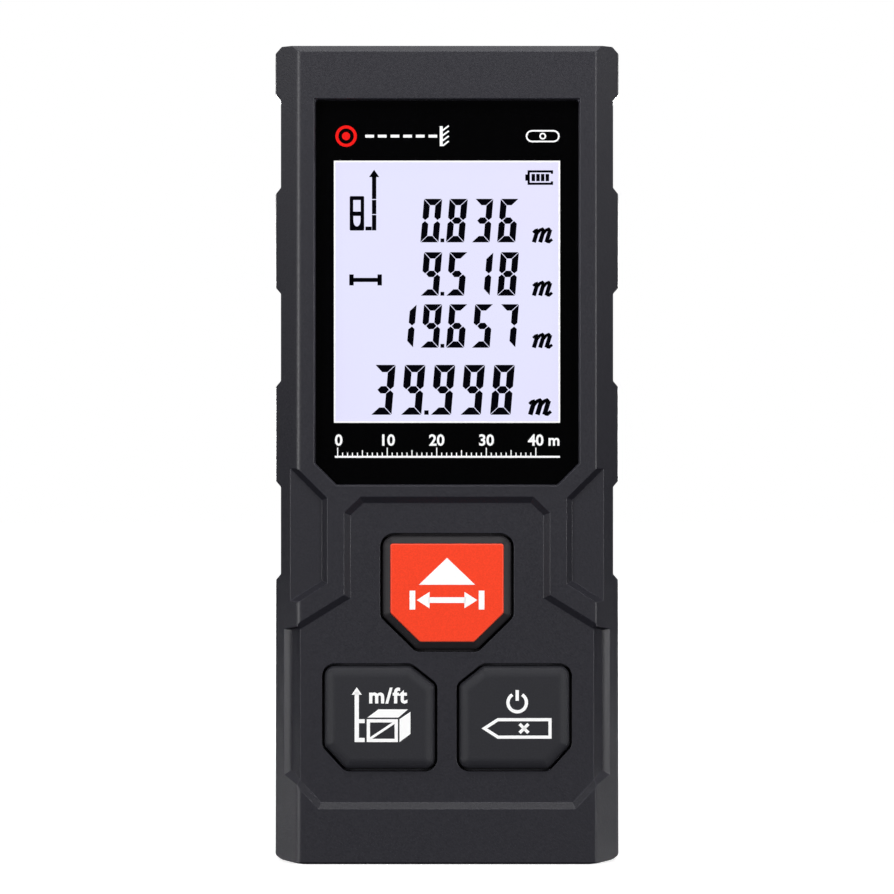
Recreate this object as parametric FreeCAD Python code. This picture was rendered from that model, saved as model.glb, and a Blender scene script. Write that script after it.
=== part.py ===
import FreeCAD, Part
import math
import os

# Handheld laser distance meter, one STEP file per piece, in millimetres.
# The meter stands on its bottom end: +Z runs up to the optics, the face looks along -Y,
# the battery door along +Y, and the origin is the centre of the bottom end.

V = FreeCAD.Vector

# ---- housing ---------------------------------------------------------------------------
HEIGHT = 115.0
HALF_WIDTH = 24.25
FACE_Y = -12.6
BACK_Y = 13.0
SPLIT_Y = 0.0

FACE_HALF = 20.95                      # the flat face ends here and the side slope begins
SIDE_SLOPE = HALF_WIDTH - FACE_HALF    # 45 degree slope between the face and the side
BACK_SLOPE = 2.6
SKIN_X = 22.0                          # half width of the hollow
FRONT_SKIN_Y = -10.2                   # inside of the front wall
REAR_SKIN_Y = 11.2                     # inside of the back wall
END_SKIN = 2.0

NOTCH_DEPTH = 0.83
NOTCH_OUTER = 14.2
NOTCH_INNER = 12.3
NOTCH_HEIGHTS = (46.83, 74.06, 101.3)
NOTCH_ROUND = 0.35
BOTTOM_CORNER = ((4.2, 0.0), (0.9, 0.45), (0.0, 1.05))   # how far in from the side, and height
BOTTOM_CORNER_RADII = [5.0, 1.6, 0.6]
TOP_CORNER = 0.95
TOP_BEVEL = 0.85
BOTTOM_BEVEL = 0.3
BACK_END_BEVEL = 0.8
SEAM = 0.2                             # width and depth of the groove where the shells meet

# ---- relief on the face ----------------------------------------------------------------
PANEL_DEPTH = 0.75
PANEL_DRAFT = 0.9
PANEL_Y = FACE_Y + PANEL_DEPTH
SUNK_CREASE = FACE_HALF - PANEL_DEPTH * math.tan(math.radians(22.5))
LEDGE_X = 21.85                        # valley at the foot of the pocket in the side slope
LEDGE_DEPTH = 2.40
LEDGE_TILT = 20.0                      # the wall beyond the valley looks inwards by this angle
# Three points of the planes that close the slope pocket: X, depth below the face, Z.
POCKET_FOOT = ((20.75, 0.0, 11.1), (22.85, 1.9, 12.4), (21.85, 2.4, 13.1))
POCKET_HEAD = ((20.75, 0.0, 33.4), (22.40, 1.45, 33.1), (21.85, 2.4, 32.85))
WING_DEPTH = 1.1
WING_DRAFT = 0.76
OUTSIDE_X = 26.0
OUTSIDE_Y = 15.0

# ---- display ---------------------------------------------------------------------------
WINDOW_HALF = 18.5
WINDOW_BOTTOM = 53.3
WINDOW_TOP = 107.4
WINDOW_CHAMFER = 3.0
WINDOW_RECESS = 0.25
WINDOW_FIT = 0.08
WINDOW_THICK = 1.2
MASK_THICK = 0.05
TAPE_THICK = 0.1
VIEW_HALF = 15.92                      # half width of the clear area of the window
VIEW_BOTTOM = 62.0
VIEW_TOP = 98.9
LEDGE_MARGIN = 1.1
LCD_HALF = 17.6
LCD_BOTTOM = 57.6
LCD_TOP = 101.4
LCD_FRONT_Y = -10.1
POLARIZER_THICK = 0.1
LCD_BACK_Y = -8.8

# ---- board and keypad ------------------------------------------------------------------
BOARD_FRONT_Y = -7.5
BOARD_BACK_Y = -6.3
BOARD_HALF = 20.3
BOARD_BOTTOM = 6.0
BOARD_TOP = 101.5
BOARD_SCREWS = ((-17.5, 8.5), (17.5, 8.5), (-17.5, 52.0), (17.5, 52.0))
BOARD_SCREW_R = 0.8

KEY_GAP = 0.37
KEY_TOP_Y = -13.0
KEY_FLANGE_Y = -10.05
KEY_BASE_Y = -9.3
KEY_FLANGE = 0.8
KEY_TRAVEL = 0.8
MAT_Y = -8.3
PILL_R = 2.2
DOME_FOOT_R = 5.0
DOME_HEAD_R = 3.4
DOME_WALL = 0.4
READ_CENTRE = (0.0, 38.6)
SMALL_KEY_X = 9.45
SMALL_KEY_Z = 20.6

READ_HALF = 9.41
READ_BOTTOM = 29.8
READ_TOP = 46.5
READ_FOOT_HALF = 4.4
READ_SHOULDER = 34.7
FACE_INSET = 1.46                      # from the key hole's edge to the coloured face
FACE_PLATE_Y = -12.0
READ_RIM_Y = -12.88

SMALL_INNER = 1.34                     # small key holes: nearest and furthest X, then Z
SMALL_OUTER = 17.56
SMALL_BOTTOM = 13.0
SMALL_TOP = 28.2

# ---- housing screws --------------------------------------------------------------------
HOUSING_SCREWS = ((-17.8, 33.0), (17.8, 33.0), (-17.8, 106.5), (17.8, 106.5))
SCREW_SEAT_Y = 4.0
SCREW_R = 1.0
SCREW_HEAD_R = 1.9
SCREW_WELL_R = 2.1

# ---- battery bay and door --------------------------------------------------------------
BAY_HALF = 11.4
BAY_BOTTOM = 5.0
BAY_TOP = 54.0
BAY_SKIN = 1.2
DOOR_SEAT_HALF = 14.0                  # ledge that the door closes on
DOOR_SEAT_Y = 10.0
DOOR_SEAT_TOP = 59.0
CELL_X = 5.5
CELL_Y = 5.55
CELL_R = 5.25
CELL_CAN_R = 5.1
CELL_LENGTH = 43.5
CELL_NUB_R = 1.9
CELL_NUB = 1.0
PLATE = 0.4
SPRING_WIRE_R = 0.3
SPRING_WIRE_SIDES = 12
SPRING_R = 3.2
SPRING_PITCH = 1.0

DOOR_HALF = 12.8
DOOR_BOTTOM = 4.0
DOOR_TOP = 57.2
DOOR_INNER_Y = 11.4
DOOR_GAP = 0.15
TONGUE_X = 7.0
TONGUE_HALF = 2.5
TONGUE_Y = 10.4
LIP_INNER_Y = 11.55
LATCH_HALF = 4.5
LATCH_BOTTOM = 49.0
LATCH_SLIT = 0.5
NOSE_HALF = 3.5
NOSE_HIGH = 0.6

# ---- optics ----------------------------------------------------------------------------
OPTICS_Y = 2.2
RECEIVER_X = -5.8
LASER_X = 9.4
RECEIVER_BORE_R = 6.8
RECEIVER_CONE_R = 6.2
RECEIVER_WALL_R = 7.8
LENS_R = 6.7
LENS_BOTTOM = 107.9
LENS_EDGE = 1.8
LENS_CROWN = 1.3
BLOCK_BOTTOM = 85.0
BLOCK_TOP = 111.8
BARREL_R = 4.0
BARREL_BOTTOM = 88.0
BARREL_TOP = 109.0
LASER_WALL_R = 5.2
EARS = ((-17.0, 90.0), (17.0, 90.0), (4.6, 82.4))
EAR_FRONT_Y = 6.0
EAR_BACK_Y = 8.0
EAR_R = 2.4
BEZEL_HALF = 16.5
BEZEL_FRONT_Y = -6.4
BEZEL_REAR_Y = 10.4
BEZEL_TOP = 114.8
BEZEL_SEAT = 113.9
BEZEL_RIM = 1.6
COLLAR_BOTTOM = 112.2
GASKET_HALF = 7.6
APERTURE_R = 6.5
LASER_APERTURE_R = 2.6
LASER_WINDOW_R = 3.0

# ---- back ------------------------------------------------------------------------------
LABEL_HALF = 16.5
LABEL_BOTTOM = 64.0
LABEL_TOP = 98.0
LABEL_DEPTH = 0.3
STRAP_POCKET = (15.0, 21.0, 4.5, 10.5)   # X from and to, Z from and to
STRAP_FLOOR_Y = 8.8
STRAP_BAR_R = 1.0
STRAP_BAR_Y = 11.7


# ---- drawing helpers -------------------------------------------------------------------
def on_face(u, v, level):
    """A point of an outline drawn in X and Z, at Y = level."""
    return V(u, level, v)


def on_plan(u, v, level):
    """A point of an outline drawn in X and Y, at Z = level."""
    return V(u, v, level)


def on_side(u, v, level):
    """A point of an outline drawn in Y and Z, at X = level."""
    return V(level, u, v)


def outline_wire(corners, level, place=on_face, radii=0.0):
    """Closed wire through the corners, each rounded by its radius."""
    count = len(corners)
    if not hasattr(radii, "__len__"):
        radii = [radii] * count
    starts, ends, middles = [], [], []
    for i, (u, v) in enumerate(corners):
        here = V(u, v, 0)
        before = V(*corners[i - 1], 0) - here
        after = V(*corners[(i + 1) % count], 0) - here
        before.normalize()
        after.normalize()
        if radii[i] <= 0:
            starts.append(here)
            ends.append(here)
            middles.append(None)
            continue
        half = before.getAngle(after) / 2
        reach = radii[i] / math.tan(half)
        inward = before + after
        inward.normalize()
        starts.append(here + before * reach)
        ends.append(here + after * reach)
        middles.append(here + inward * (radii[i] / math.sin(half) - radii[i]))
    edges = []
    for i in range(count):
        a, b = place(*ends[i - 1][:2], level), place(*starts[i][:2], level)
        edges.append(Part.LineSegment(a, b).toShape())
        if middles[i] is not None:
            mid, end = place(*middles[i][:2], level), place(*ends[i][:2], level)
            edges.append(Part.Arc(b, mid, end).toShape())
    return Part.Wire(edges)


def prism(corners, low, high, place=on_face, radii=0.0):
    """The outline swept straight from one level to the other."""
    face = Part.Face(outline_wire(corners, low, place, radii))
    return face.extrude(place(0, 0, high) - place(0, 0, low))


def offset_corners(corners, distance):
    """The corners of a counter-clockwise outline moved outwards, or inwards if negative."""
    moved = []
    count = len(corners)
    for i, (u, v) in enumerate(corners):
        before = V(u - corners[i - 1][0], v - corners[i - 1][1], 0)
        after = V(corners[(i + 1) % count][0] - u, corners[(i + 1) % count][1] - v, 0)
        before.normalize()
        after.normalize()
        out_a, out_b = V(before.y, -before.x, 0), V(after.y, -after.x, 0)
        step = (out_a + out_b) * (distance / (1 + out_a.dot(out_b)))
        moved.append((u + step.x, v + step.y))
    return moved


def loft(near, far):
    """Solid between two flat loops with the same number of corners."""
    loops = [near, far]
    for i in range(len(near)):
        loops.append([near[i - 1], near[i], far[i], far[i - 1]])
    faces = [Part.Face(Part.makePolygon(loop + [loop[0]])) for loop in loops]
    solid = Part.Solid(Part.Shell(faces))
    if solid.Volume < 0:
        solid.reverse()
    return solid


def drafted(corners, y_from, y_to, inset):
    """Prism along Y whose walls lean inwards by inset over its depth."""
    near = [on_face(u, v, y_from) for u, v in corners]
    far = [on_face(u, v, y_to) for u, v in offset_corners(corners, -inset)]
    return loft(near, far)


def block(x0, x1, y0, y1, z0, z1):
    return Part.makeBox(x1 - x0, y1 - y0, z1 - z0, V(x0, y0, z0))


def round_y(x, z, radius, y0, y1):
    return Part.makeCylinder(radius, y1 - y0, V(x, y0, z), V(0, 1, 0))


def round_z(x, y, radius, z0, z1):
    return Part.makeCylinder(radius, z1 - z0, V(x, y, z0), V(0, 0, 1))


def rectangle(u0, u1, v0, v1):
    return [(u0, v0), (u1, v0), (u1, v1), (u0, v1)]


def mirrored(corners):
    """The same outline on the other side of X = 0, still counter-clockwise."""
    return [(-u, v) for u, v in reversed(corners)]


def both_sides(right_half):
    """A symmetric counter-clockwise outline from its right half, bottom to top."""
    return right_half + mirrored(right_half)


def join(solids):
    return solids[0].multiFuse(solids[1:]).removeSplitter()


def single(shape):
    """The one solid of a boolean result."""
    return shape.removeSplitter().Solids[0]


# ---- outer form ------------------------------------------------------------------------
def side_outline():
    """Front view of the housing: bottom corners, the three grip notches, top corners."""
    right = [(HALF_WIDTH - inward, z) for inward, z in BOTTOM_CORNER]
    for z in NOTCH_HEIGHTS:
        right.append((HALF_WIDTH, z - NOTCH_OUTER / 2))
        right.append((HALF_WIDTH - NOTCH_DEPTH, z - NOTCH_INNER / 2))
        right.append((HALF_WIDTH - NOTCH_DEPTH, z + NOTCH_INNER / 2))
        right.append((HALF_WIDTH, z + NOTCH_OUTER / 2))
    right.append((HALF_WIDTH, HEIGHT - TOP_CORNER))
    right.append((HALF_WIDTH - TOP_CORNER, HEIGHT))
    return both_sides(right)


def side_radii(inset=0.0):
    """Radii of the corners of side_outline, less the inset of an outline inside it."""
    right = BOTTOM_CORNER_RADII + [NOTCH_ROUND] * (4 * len(NOTCH_HEIGHTS) + 2)
    return [r - inset for r in right + right[::-1]]


def outer_body():
    """The closed outer form of both shells together."""
    girth = both_sides([
        (FACE_HALF, FACE_Y),
        (HALF_WIDTH, FACE_Y + SIDE_SLOPE),
        (HALF_WIDTH, BACK_Y - BACK_SLOPE),
        (HALF_WIDTH - BACK_SLOPE, BACK_Y),
    ])
    profile = [
        (FACE_Y + BOTTOM_BEVEL, 0.0),
        (BACK_Y - BACK_END_BEVEL, 0.0),
        (BACK_Y, BACK_END_BEVEL),
        (BACK_Y, HEIGHT - BACK_END_BEVEL),
        (BACK_Y - BACK_END_BEVEL, HEIGHT),
        (FACE_Y + TOP_BEVEL, HEIGHT),
        (FACE_Y, HEIGHT - TOP_BEVEL),
        (FACE_Y, BOTTOM_BEVEL),
    ]
    front = prism(side_outline(), FACE_Y - 1, BACK_Y + 1, on_face, side_radii())
    plan = prism(girth, -1, HEIGHT + 1, on_plan, [0.5, 1.2, 1.2, 1.2] * 2)
    side = prism(profile, -OUTSIDE_X, OUTSIDE_X, on_side)
    return single(front.common(plan).common(side))


def hollow(girth):
    return prism(girth, END_SKIN, HEIGHT - END_SKIN, on_plan)


def seam_groove():
    """Shallow groove round the housing where the two shells meet."""
    outline = side_outline()
    y0, y1 = SPLIT_Y - SEAM / 2, SPLIT_Y + SEAM / 2
    outside = prism(offset_corners(outline, 1.0), y0, y1)
    inner = offset_corners(outline, -SEAM)
    return outside.cut(prism(inner, y0, y1, on_face, side_radii(SEAM)))


def optics_opening():
    """Seat and opening for the optics bezel in the top end."""
    fit = 0.1
    seat = rectangle(-BEZEL_HALF - fit, BEZEL_HALF + fit, BEZEL_FRONT_Y - fit, BEZEL_REAR_Y + fit)
    inner = offset_corners(seat, -BEZEL_RIM)
    return join([
        prism(seat, BEZEL_SEAT, HEIGHT + 1, on_plan, 2.6),
        prism(inner, HEIGHT - END_SKIN - 1, BEZEL_SEAT + 0.1, on_plan, 1.0),
    ])


# ---- relief on the face ----------------------------------------------------------------
def panel_outline():
    """Rim of the sunken keypad panel: narrow neck round the large key, wide foot below."""
    return both_sides([
        (18.05, 7.76),
        (OUTSIDE_X, 16.17),
        (OUTSIDE_X, 30.73),
        (14.47, 37.84),
        (14.47, 49.38),
        (12.14, 51.63),
    ])


def plane_height(points, x, y):
    """Z of the plane through three points, at this X and Y."""
    a, b, c = [V(u, FACE_Y + depth, w) for u, depth, w in points]
    normal = (b - a).cross(c - a)
    return a.z - (normal.x * (x - a.x) + normal.y * (y - a.y)) / normal.z


def slope_pocket():
    """The panel's run down the right side slope, to a valley and a wall that faces inwards."""
    front = FACE_Y - 1
    valley_y = FACE_Y + LEDGE_DEPTH
    wall_end = valley_y - (OUTSIDE_X - LEDGE_X) * math.tan(math.radians(LEDGE_TILT))
    plan = [(SUNK_CREASE, front), (OUTSIDE_X, front), (OUTSIDE_X, wall_end),
            (LEDGE_X, valley_y), (SUNK_CREASE, PANEL_Y)]
    foot = [V(x, y, plane_height(POCKET_FOOT, x, y)) for x, y in plan]
    head = [V(x, y, plane_height(POCKET_HEAD, x, y)) for x, y in plan]
    return loft(foot, head)


def panel_cutter():
    """The sunken panel between its drafted walls, and the pocket down each side slope."""
    rim = panel_outline()
    rise = 1.0
    slope = PANEL_DRAFT / PANEL_DEPTH
    mouth = offset_corners(rim, slope * rise)
    walls = drafted(mouth, FACE_Y - rise, PANEL_Y, slope * rise + PANEL_DRAFT)
    face = walls.common(block(-FACE_HALF, FACE_HALF, FACE_Y - rise, PANEL_Y, -1, 60))
    right = slope_pocket()
    return join([face, right, right.mirror(V(0, 0, 0), V(1, 0, 0))])


def wing_cutter(side):
    """Pocket on one shoulder, with a flat floor that runs out through the side slope."""
    rim = [(16.82, 39.39), (OUTSIDE_X, 33.56), (OUTSIDE_X, 60.62), (16.82, 51.44)]
    rise = 1.0
    slope = WING_DRAFT / WING_DEPTH
    mouth = offset_corners(rim, slope * rise)
    if side < 0:
        mouth = mirrored(mouth)
    return drafted(mouth, FACE_Y - rise, FACE_Y + WING_DEPTH, slope * rise + WING_DRAFT)


def window_outline():
    return both_sides([
        (WINDOW_HALF - WINDOW_CHAMFER, WINDOW_BOTTOM),
        (WINDOW_HALF, WINDOW_BOTTOM + WINDOW_CHAMFER),
        (WINDOW_HALF, WINDOW_TOP),
    ])


WINDOW_RADII = [0.3, 0.3, 0.45, 0.45, 0.3, 0.3]


def view_outline(margin=0.0):
    return rectangle(-VIEW_HALF - margin, VIEW_HALF + margin, VIEW_BOTTOM - margin,
                     VIEW_TOP + margin)


def read_key_hole():
    """Hole for the large key: a shield with its lower corners cut off."""
    return both_sides([
        (READ_FOOT_HALF, READ_BOTTOM),
        (READ_HALF, READ_SHOULDER),
        (READ_HALF, READ_TOP),
    ])


READ_RADII = [1.3, 1.5, 2.0, 2.0, 1.5, 1.3]


def small_key_hole(side):
    """Hole for a small key: its upper inner and lower outer corners are cut off."""
    right = [
        (SMALL_INNER, SMALL_BOTTOM),
        (SMALL_OUTER - 3.2, SMALL_BOTTOM),
        (SMALL_OUTER, SMALL_BOTTOM + 3.5),
        (SMALL_OUTER, SMALL_TOP),
        (SMALL_INNER + 3.65, SMALL_TOP),
        (SMALL_INNER, SMALL_TOP - 2.9),
    ]
    return right if side > 0 else mirrored(right)


SMALL_RADII = [1.8, 1.4, 1.4, 1.8, 1.4, 1.4]


def small_radii(side):
    return SMALL_RADII if side > 0 else SMALL_RADII[::-1]


# ---- shells ----------------------------------------------------------------------------
def front_shell():
    body = outer_body()
    shell = body.common(block(-OUTSIDE_X, OUTSIDE_X, -OUTSIDE_Y, SPLIT_Y, -1, HEIGHT + 1))
    shell = shell.cut(hollow(both_sides([
        (19.6, FRONT_SKIN_Y),
        (SKIN_X, FRONT_SKIN_Y + SKIN_X - 19.6),
        (SKIN_X, SPLIT_Y + 1),
    ])))
    bosses = [round_y(x, z, 2.4, FRONT_SKIN_Y - 0.5, SPLIT_Y) for x, z in HOUSING_SCREWS]
    bosses += [round_y(x, z, 1.8, FRONT_SKIN_Y - 0.5, BOARD_FRONT_Y) for x, z in BOARD_SCREWS]
    for side in (-1, 1):
        rib_x = side * (LCD_HALF + 0.5)
        bosses.append(block(rib_x - 0.3, rib_x + 0.3, FRONT_SKIN_Y - 0.5, -8.2, 62, 98))
    shell = join([shell] + bosses)

    window_front = FACE_Y + WINDOW_RECESS
    window_back = window_front + WINDOW_THICK + MASK_THICK + TAPE_THICK
    bevel = drafted(offset_corners(window_outline(), 0.6), FACE_Y - 0.6, window_front, 0.6)
    cuts = [
        panel_cutter(),
        wing_cutter(-1),
        wing_cutter(1),
        prism(window_outline(), FACE_Y - 1, window_back, on_face, WINDOW_RADII),
        bevel,
        prism(view_outline(LEDGE_MARGIN), FACE_Y, FRONT_SKIN_Y + 1, on_face, 0.5),
        prism(read_key_hole(), FACE_Y - 1, FRONT_SKIN_Y + 1, on_face, READ_RADII),
        prism(small_key_hole(-1), FACE_Y - 1, FRONT_SKIN_Y + 1, on_face, small_radii(-1)),
        prism(small_key_hole(1), FACE_Y - 1, FRONT_SKIN_Y + 1, on_face, small_radii(1)),
        optics_opening(),
        seam_groove(),
    ]
    cuts += [round_y(x, z, SCREW_R, -8.4, SPLIT_Y + 1) for x, z in HOUSING_SCREWS]
    cuts += [round_y(x, z, BOARD_SCREW_R, -9.7, BOARD_FRONT_Y + 1) for x, z in BOARD_SCREWS]
    for cutter in cuts:
        shell = shell.cut(cutter)
    return single(shell)


def rear_shell():
    body = outer_body()
    shell = body.common(block(-OUTSIDE_X, OUTSIDE_X, SPLIT_Y, OUTSIDE_Y, -1, HEIGHT + 1))
    shell = shell.cut(hollow(both_sides([
        (SKIN_X, SPLIT_Y - 1),
        (SKIN_X, REAR_SKIN_Y - 1.6),
        (SKIN_X - 1.6, REAR_SKIN_Y),
    ])))
    x0, x1, z0, z1 = STRAP_POCKET
    bay = BAY_HALF + BAY_SKIN
    lip_outer = rectangle(0.1 - SKIN_X, SKIN_X - 0.1, END_SKIN + 0.1, HEIGHT - END_SKIN - 0.1)
    lip = prism(lip_outer, SPLIT_Y - 1.2, SPLIT_Y + 2).cut(
        prism(offset_corners(lip_outer, -0.8), SPLIT_Y - 2, SPLIT_Y + 3))
    additions = [
        lip,
        block(-bay, bay, -BAY_SKIN, REAR_SKIN_Y + 0.5, END_SKIN + 0.1, BAY_TOP + BAY_SKIN),
        block(-bay, bay, SPLIT_Y, REAR_SKIN_Y + 0.5, 1.0, END_SKIN + 1.0),
        block(-DOOR_SEAT_HALF, DOOR_SEAT_HALF, DOOR_SEAT_Y, REAR_SKIN_Y + 0.5, 1.0, DOOR_SEAT_TOP),
        block(bay, SKIN_X + 0.5, STRAP_FLOOR_Y - 1.2, REAR_SKIN_Y + 0.5, 1.0, z1 + 1.2),
    ]
    additions += [round_y(x, z, 3.0, SPLIT_Y, REAR_SKIN_Y + 0.5) for x, z in HOUSING_SCREWS]
    additions += [round_y(x, z, 2.2, EAR_BACK_Y, REAR_SKIN_Y + 0.5) for x, z in EARS]
    shell = join([shell] + additions).common(body.fuse(
        block(-SKIN_X, SKIN_X, -3, SPLIT_Y + 1, 1, HEIGHT - 1)))

    seat = rectangle(-DOOR_HALF - DOOR_GAP, DOOR_HALF + DOOR_GAP,
                     DOOR_BOTTOM - DOOR_GAP, DOOR_TOP + DOOR_GAP)
    cuts = [
        block(-BAY_HALF, BAY_HALF, 0, DOOR_INNER_Y + 0.1, BAY_BOTTOM, BAY_TOP),
        prism(seat, DOOR_INNER_Y - 0.05, BACK_Y + 1, on_face, 0.6),
        prism(rectangle(x0, x1, z0, z1), STRAP_FLOOR_Y, BACK_Y + 1, on_face, 1.0),
        prism(rectangle(-LABEL_HALF, LABEL_HALF, LABEL_BOTTOM, LABEL_TOP),
              BACK_Y - LABEL_DEPTH, BACK_Y + 1, on_face, 1.5),
        Part.makeCylinder(6.0, 12.0, V(-6.0, BACK_Y + 5.0, 60.0), V(1, 0, 0)),
        block(-NOSE_HALF - 0.3, NOSE_HALF + 0.3, DOOR_INNER_Y - 0.1, BACK_Y + 1, DOOR_TOP,
              DOOR_TOP + NOSE_HIGH + 0.2),
        optics_opening(),
        seam_groove(),
    ]
    for side in (-1, 1):
        x = side * TONGUE_X
        cuts.append(block(x - TONGUE_HALF - 0.2, x + TONGUE_HALF + 0.2, 9.9, LIP_INNER_Y, 2.3, 6))
        cuts.append(block(side * CELL_X - 0.9, side * CELL_X + 0.9, -2, 1, BAY_TOP - 0.6, BAY_TOP))
    for x, z in HOUSING_SCREWS:
        cuts.append(round_y(x, z, SCREW_WELL_R, SCREW_SEAT_Y, BACK_Y + 1))
        cuts.append(round_y(x, z, SCREW_R + 0.15, SPLIT_Y - 2, SCREW_SEAT_Y + 1))
    cuts += [round_y(x, z, BOARD_SCREW_R, EAR_BACK_Y - 1, 11.6) for x, z in EARS]
    for cutter in cuts:
        shell = shell.cut(cutter)
    bar = round_z((x0 + x1) / 2, STRAP_BAR_Y, STRAP_BAR_R, z0 - 0.5, z1 + 0.5)
    return single(shell.fuse(bar))


def battery_door():
    outline = rectangle(-DOOR_HALF, DOOR_HALF, DOOR_BOTTOM, DOOR_TOP)
    rim = offset_corners(outline, -0.3)
    plate = prism(outline, DOOR_INNER_Y, BACK_Y - 0.3, on_face, 0.5)
    crown = Part.makeLoft([outline_wire(outline, BACK_Y - 0.3, on_face, 0.5),
                           outline_wire(rim, BACK_Y, on_face, 0.2)], True, True)
    solids = [plate, crown]
    for side in (-1, 1):
        x = side * TONGUE_X
        solids.append(block(x - TONGUE_HALF, x + TONGUE_HALF, TONGUE_Y, DOOR_INNER_Y,
                            DOOR_BOTTOM - 1.3, DOOR_BOTTOM + 2.0))
    solids.append(block(-NOSE_HALF, NOSE_HALF, DOOR_INNER_Y, DOOR_INNER_Y + 0.7,
                        DOOR_TOP - 0.5, DOOR_TOP + NOSE_HIGH))
    door = join(solids)
    for side in (-1, 1):
        x = side * (LATCH_HALF + LATCH_SLIT / 2)
        door = door.cut(block(x - LATCH_SLIT / 2, x + LATCH_SLIT / 2, DOOR_INNER_Y - 1,
                              BACK_Y + 1, LATCH_BOTTOM, DOOR_TOP + 1))
    for step in range(4):
        z = LATCH_BOTTOM + 1.6 + 1.5 * step
        groove = prism(rectangle(-3.4, 3.4, z, z + 0.7), BACK_Y - 0.4, BACK_Y + 1, on_face, 0.34)
        door = door.cut(groove)
    for step in range(7):
        z = 12.0 + 2.4 * step
        groove = prism(rectangle(-9.0, 9.0, z, z + 1.0), BACK_Y - 0.35, BACK_Y + 1, on_face, 0.48)
        door = door.cut(groove)
    return single(door)


def battery_foam():
    return block(-6.0, 6.0, 10.9, DOOR_INNER_Y, 20.0, 42.0)


def back_label():
    outline = rectangle(-LABEL_HALF + 0.2, LABEL_HALF - 0.2, LABEL_BOTTOM + 0.2, LABEL_TOP - 0.2)
    return prism(outline, BACK_Y - LABEL_DEPTH, BACK_Y - LABEL_DEPTH + 0.15, on_face, 1.3)


# ---- display stack ---------------------------------------------------------------------
def display_window():
    front = FACE_Y + WINDOW_RECESS
    outline = offset_corners(window_outline(), -WINDOW_FIT)
    return prism(outline, front, front + WINDOW_THICK, on_face, WINDOW_RADII)


def window_mask():
    """Opaque print behind the window, open over the viewing area."""
    front = FACE_Y + WINDOW_RECESS + WINDOW_THICK
    outline = offset_corners(window_outline(), -WINDOW_FIT)
    sheet = prism(outline, front, front + MASK_THICK, on_face, WINDOW_RADII)
    return sheet.cut(prism(view_outline(), front - 1, front + 1))


def window_tape():
    front = FACE_Y + WINDOW_RECESS + WINDOW_THICK + MASK_THICK
    outline = offset_corners(window_outline(), -0.4)
    sheet = prism(outline, front, front + TAPE_THICK)
    return sheet.cut(prism(view_outline(LEDGE_MARGIN), front - 1, front + 1, on_face, 0.5))


def lcd_polarizer():
    outline = rectangle(-LCD_HALF + 0.5, LCD_HALF - 0.5, LCD_BOTTOM + 3.0, LCD_TOP - 0.5)
    return prism(outline, LCD_FRONT_Y, LCD_FRONT_Y + POLARIZER_THICK)


def lcd_glass():
    """Front sheet, and a longer back sheet that carries the contacts along its lower edge."""
    front = LCD_FRONT_Y + POLARIZER_THICK
    middle = (front + LCD_BACK_Y) / 2
    return join([
        block(-LCD_HALF, LCD_HALF, front, middle, LCD_BOTTOM + 2.6, LCD_TOP),
        block(-LCD_HALF, LCD_HALF, middle, LCD_BACK_Y, LCD_BOTTOM, LCD_TOP),
    ])


def lcd_backlight():
    guide = block(-LCD_HALF, LCD_HALF, LCD_BACK_Y, BOARD_FRONT_Y, LCD_BOTTOM + 3.0, LCD_TOP)
    return guide.cut(block(-3, 3, LCD_BACK_Y - 1, BOARD_FRONT_Y + 1, LCD_TOP - 1.4, LCD_TOP + 1))


def backlight_led():
    return block(-2.6, 2.6, LCD_BACK_Y + 0.1, BOARD_FRONT_Y, LCD_TOP - 1.2, LCD_TOP - 0.1)


def lcd_connector():
    """Elastomer strip that joins the glass to the board."""
    return block(-15.0, 15.0, LCD_BACK_Y, BOARD_FRONT_Y, LCD_BOTTOM + 0.2, LCD_BOTTOM + 2.4)


# ---- board -----------------------------------------------------------------------------
def main_board():
    outline = rectangle(-BOARD_HALF, BOARD_HALF, BOARD_BOTTOM, BOARD_TOP)
    board = prism(outline, BOARD_FRONT_Y, BOARD_BACK_Y, on_face, 1.0)
    for x, z in HOUSING_SCREWS[:2]:
        board = board.cut(round_y(x, z, 2.8, BOARD_FRONT_Y - 1, BOARD_BACK_Y + 1))
        edge = math.copysign(BOARD_HALF + 1, x)
        board = board.cut(block(min(x, edge), max(x, edge), BOARD_FRONT_Y - 1, BOARD_BACK_Y + 1,
                                z - 2.8, z + 2.8))
    for x, z in BOARD_SCREWS:
        board = board.cut(round_y(x, z, BOARD_SCREW_R, BOARD_FRONT_Y - 1, BOARD_BACK_Y + 1))
    for x, z in key_centres():
        board = board.cut(round_y(x, z, PILL_R, BOARD_FRONT_Y - 1, BOARD_FRONT_Y + 0.05))
    return single(board)


def key_contacts():
    """Gold contact field under each key, flush with the board."""
    fields = []
    for x, z in key_centres():
        field = round_y(x, z, PILL_R, BOARD_FRONT_Y, BOARD_FRONT_Y + 0.05)
        slit = block(x - 0.15, x + 0.15, BOARD_FRONT_Y - 1, BOARD_BACK_Y, z - 3, z + 3)
        fields += field.cut(slit).Solids
    return Part.makeCompound(fields)


def microcontroller():
    body = block(-5, 5, BOARD_BACK_Y, BOARD_BACK_Y + 1.4, 61, 71)
    return body.makeChamfer(0.2, body.Edges)


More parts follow.
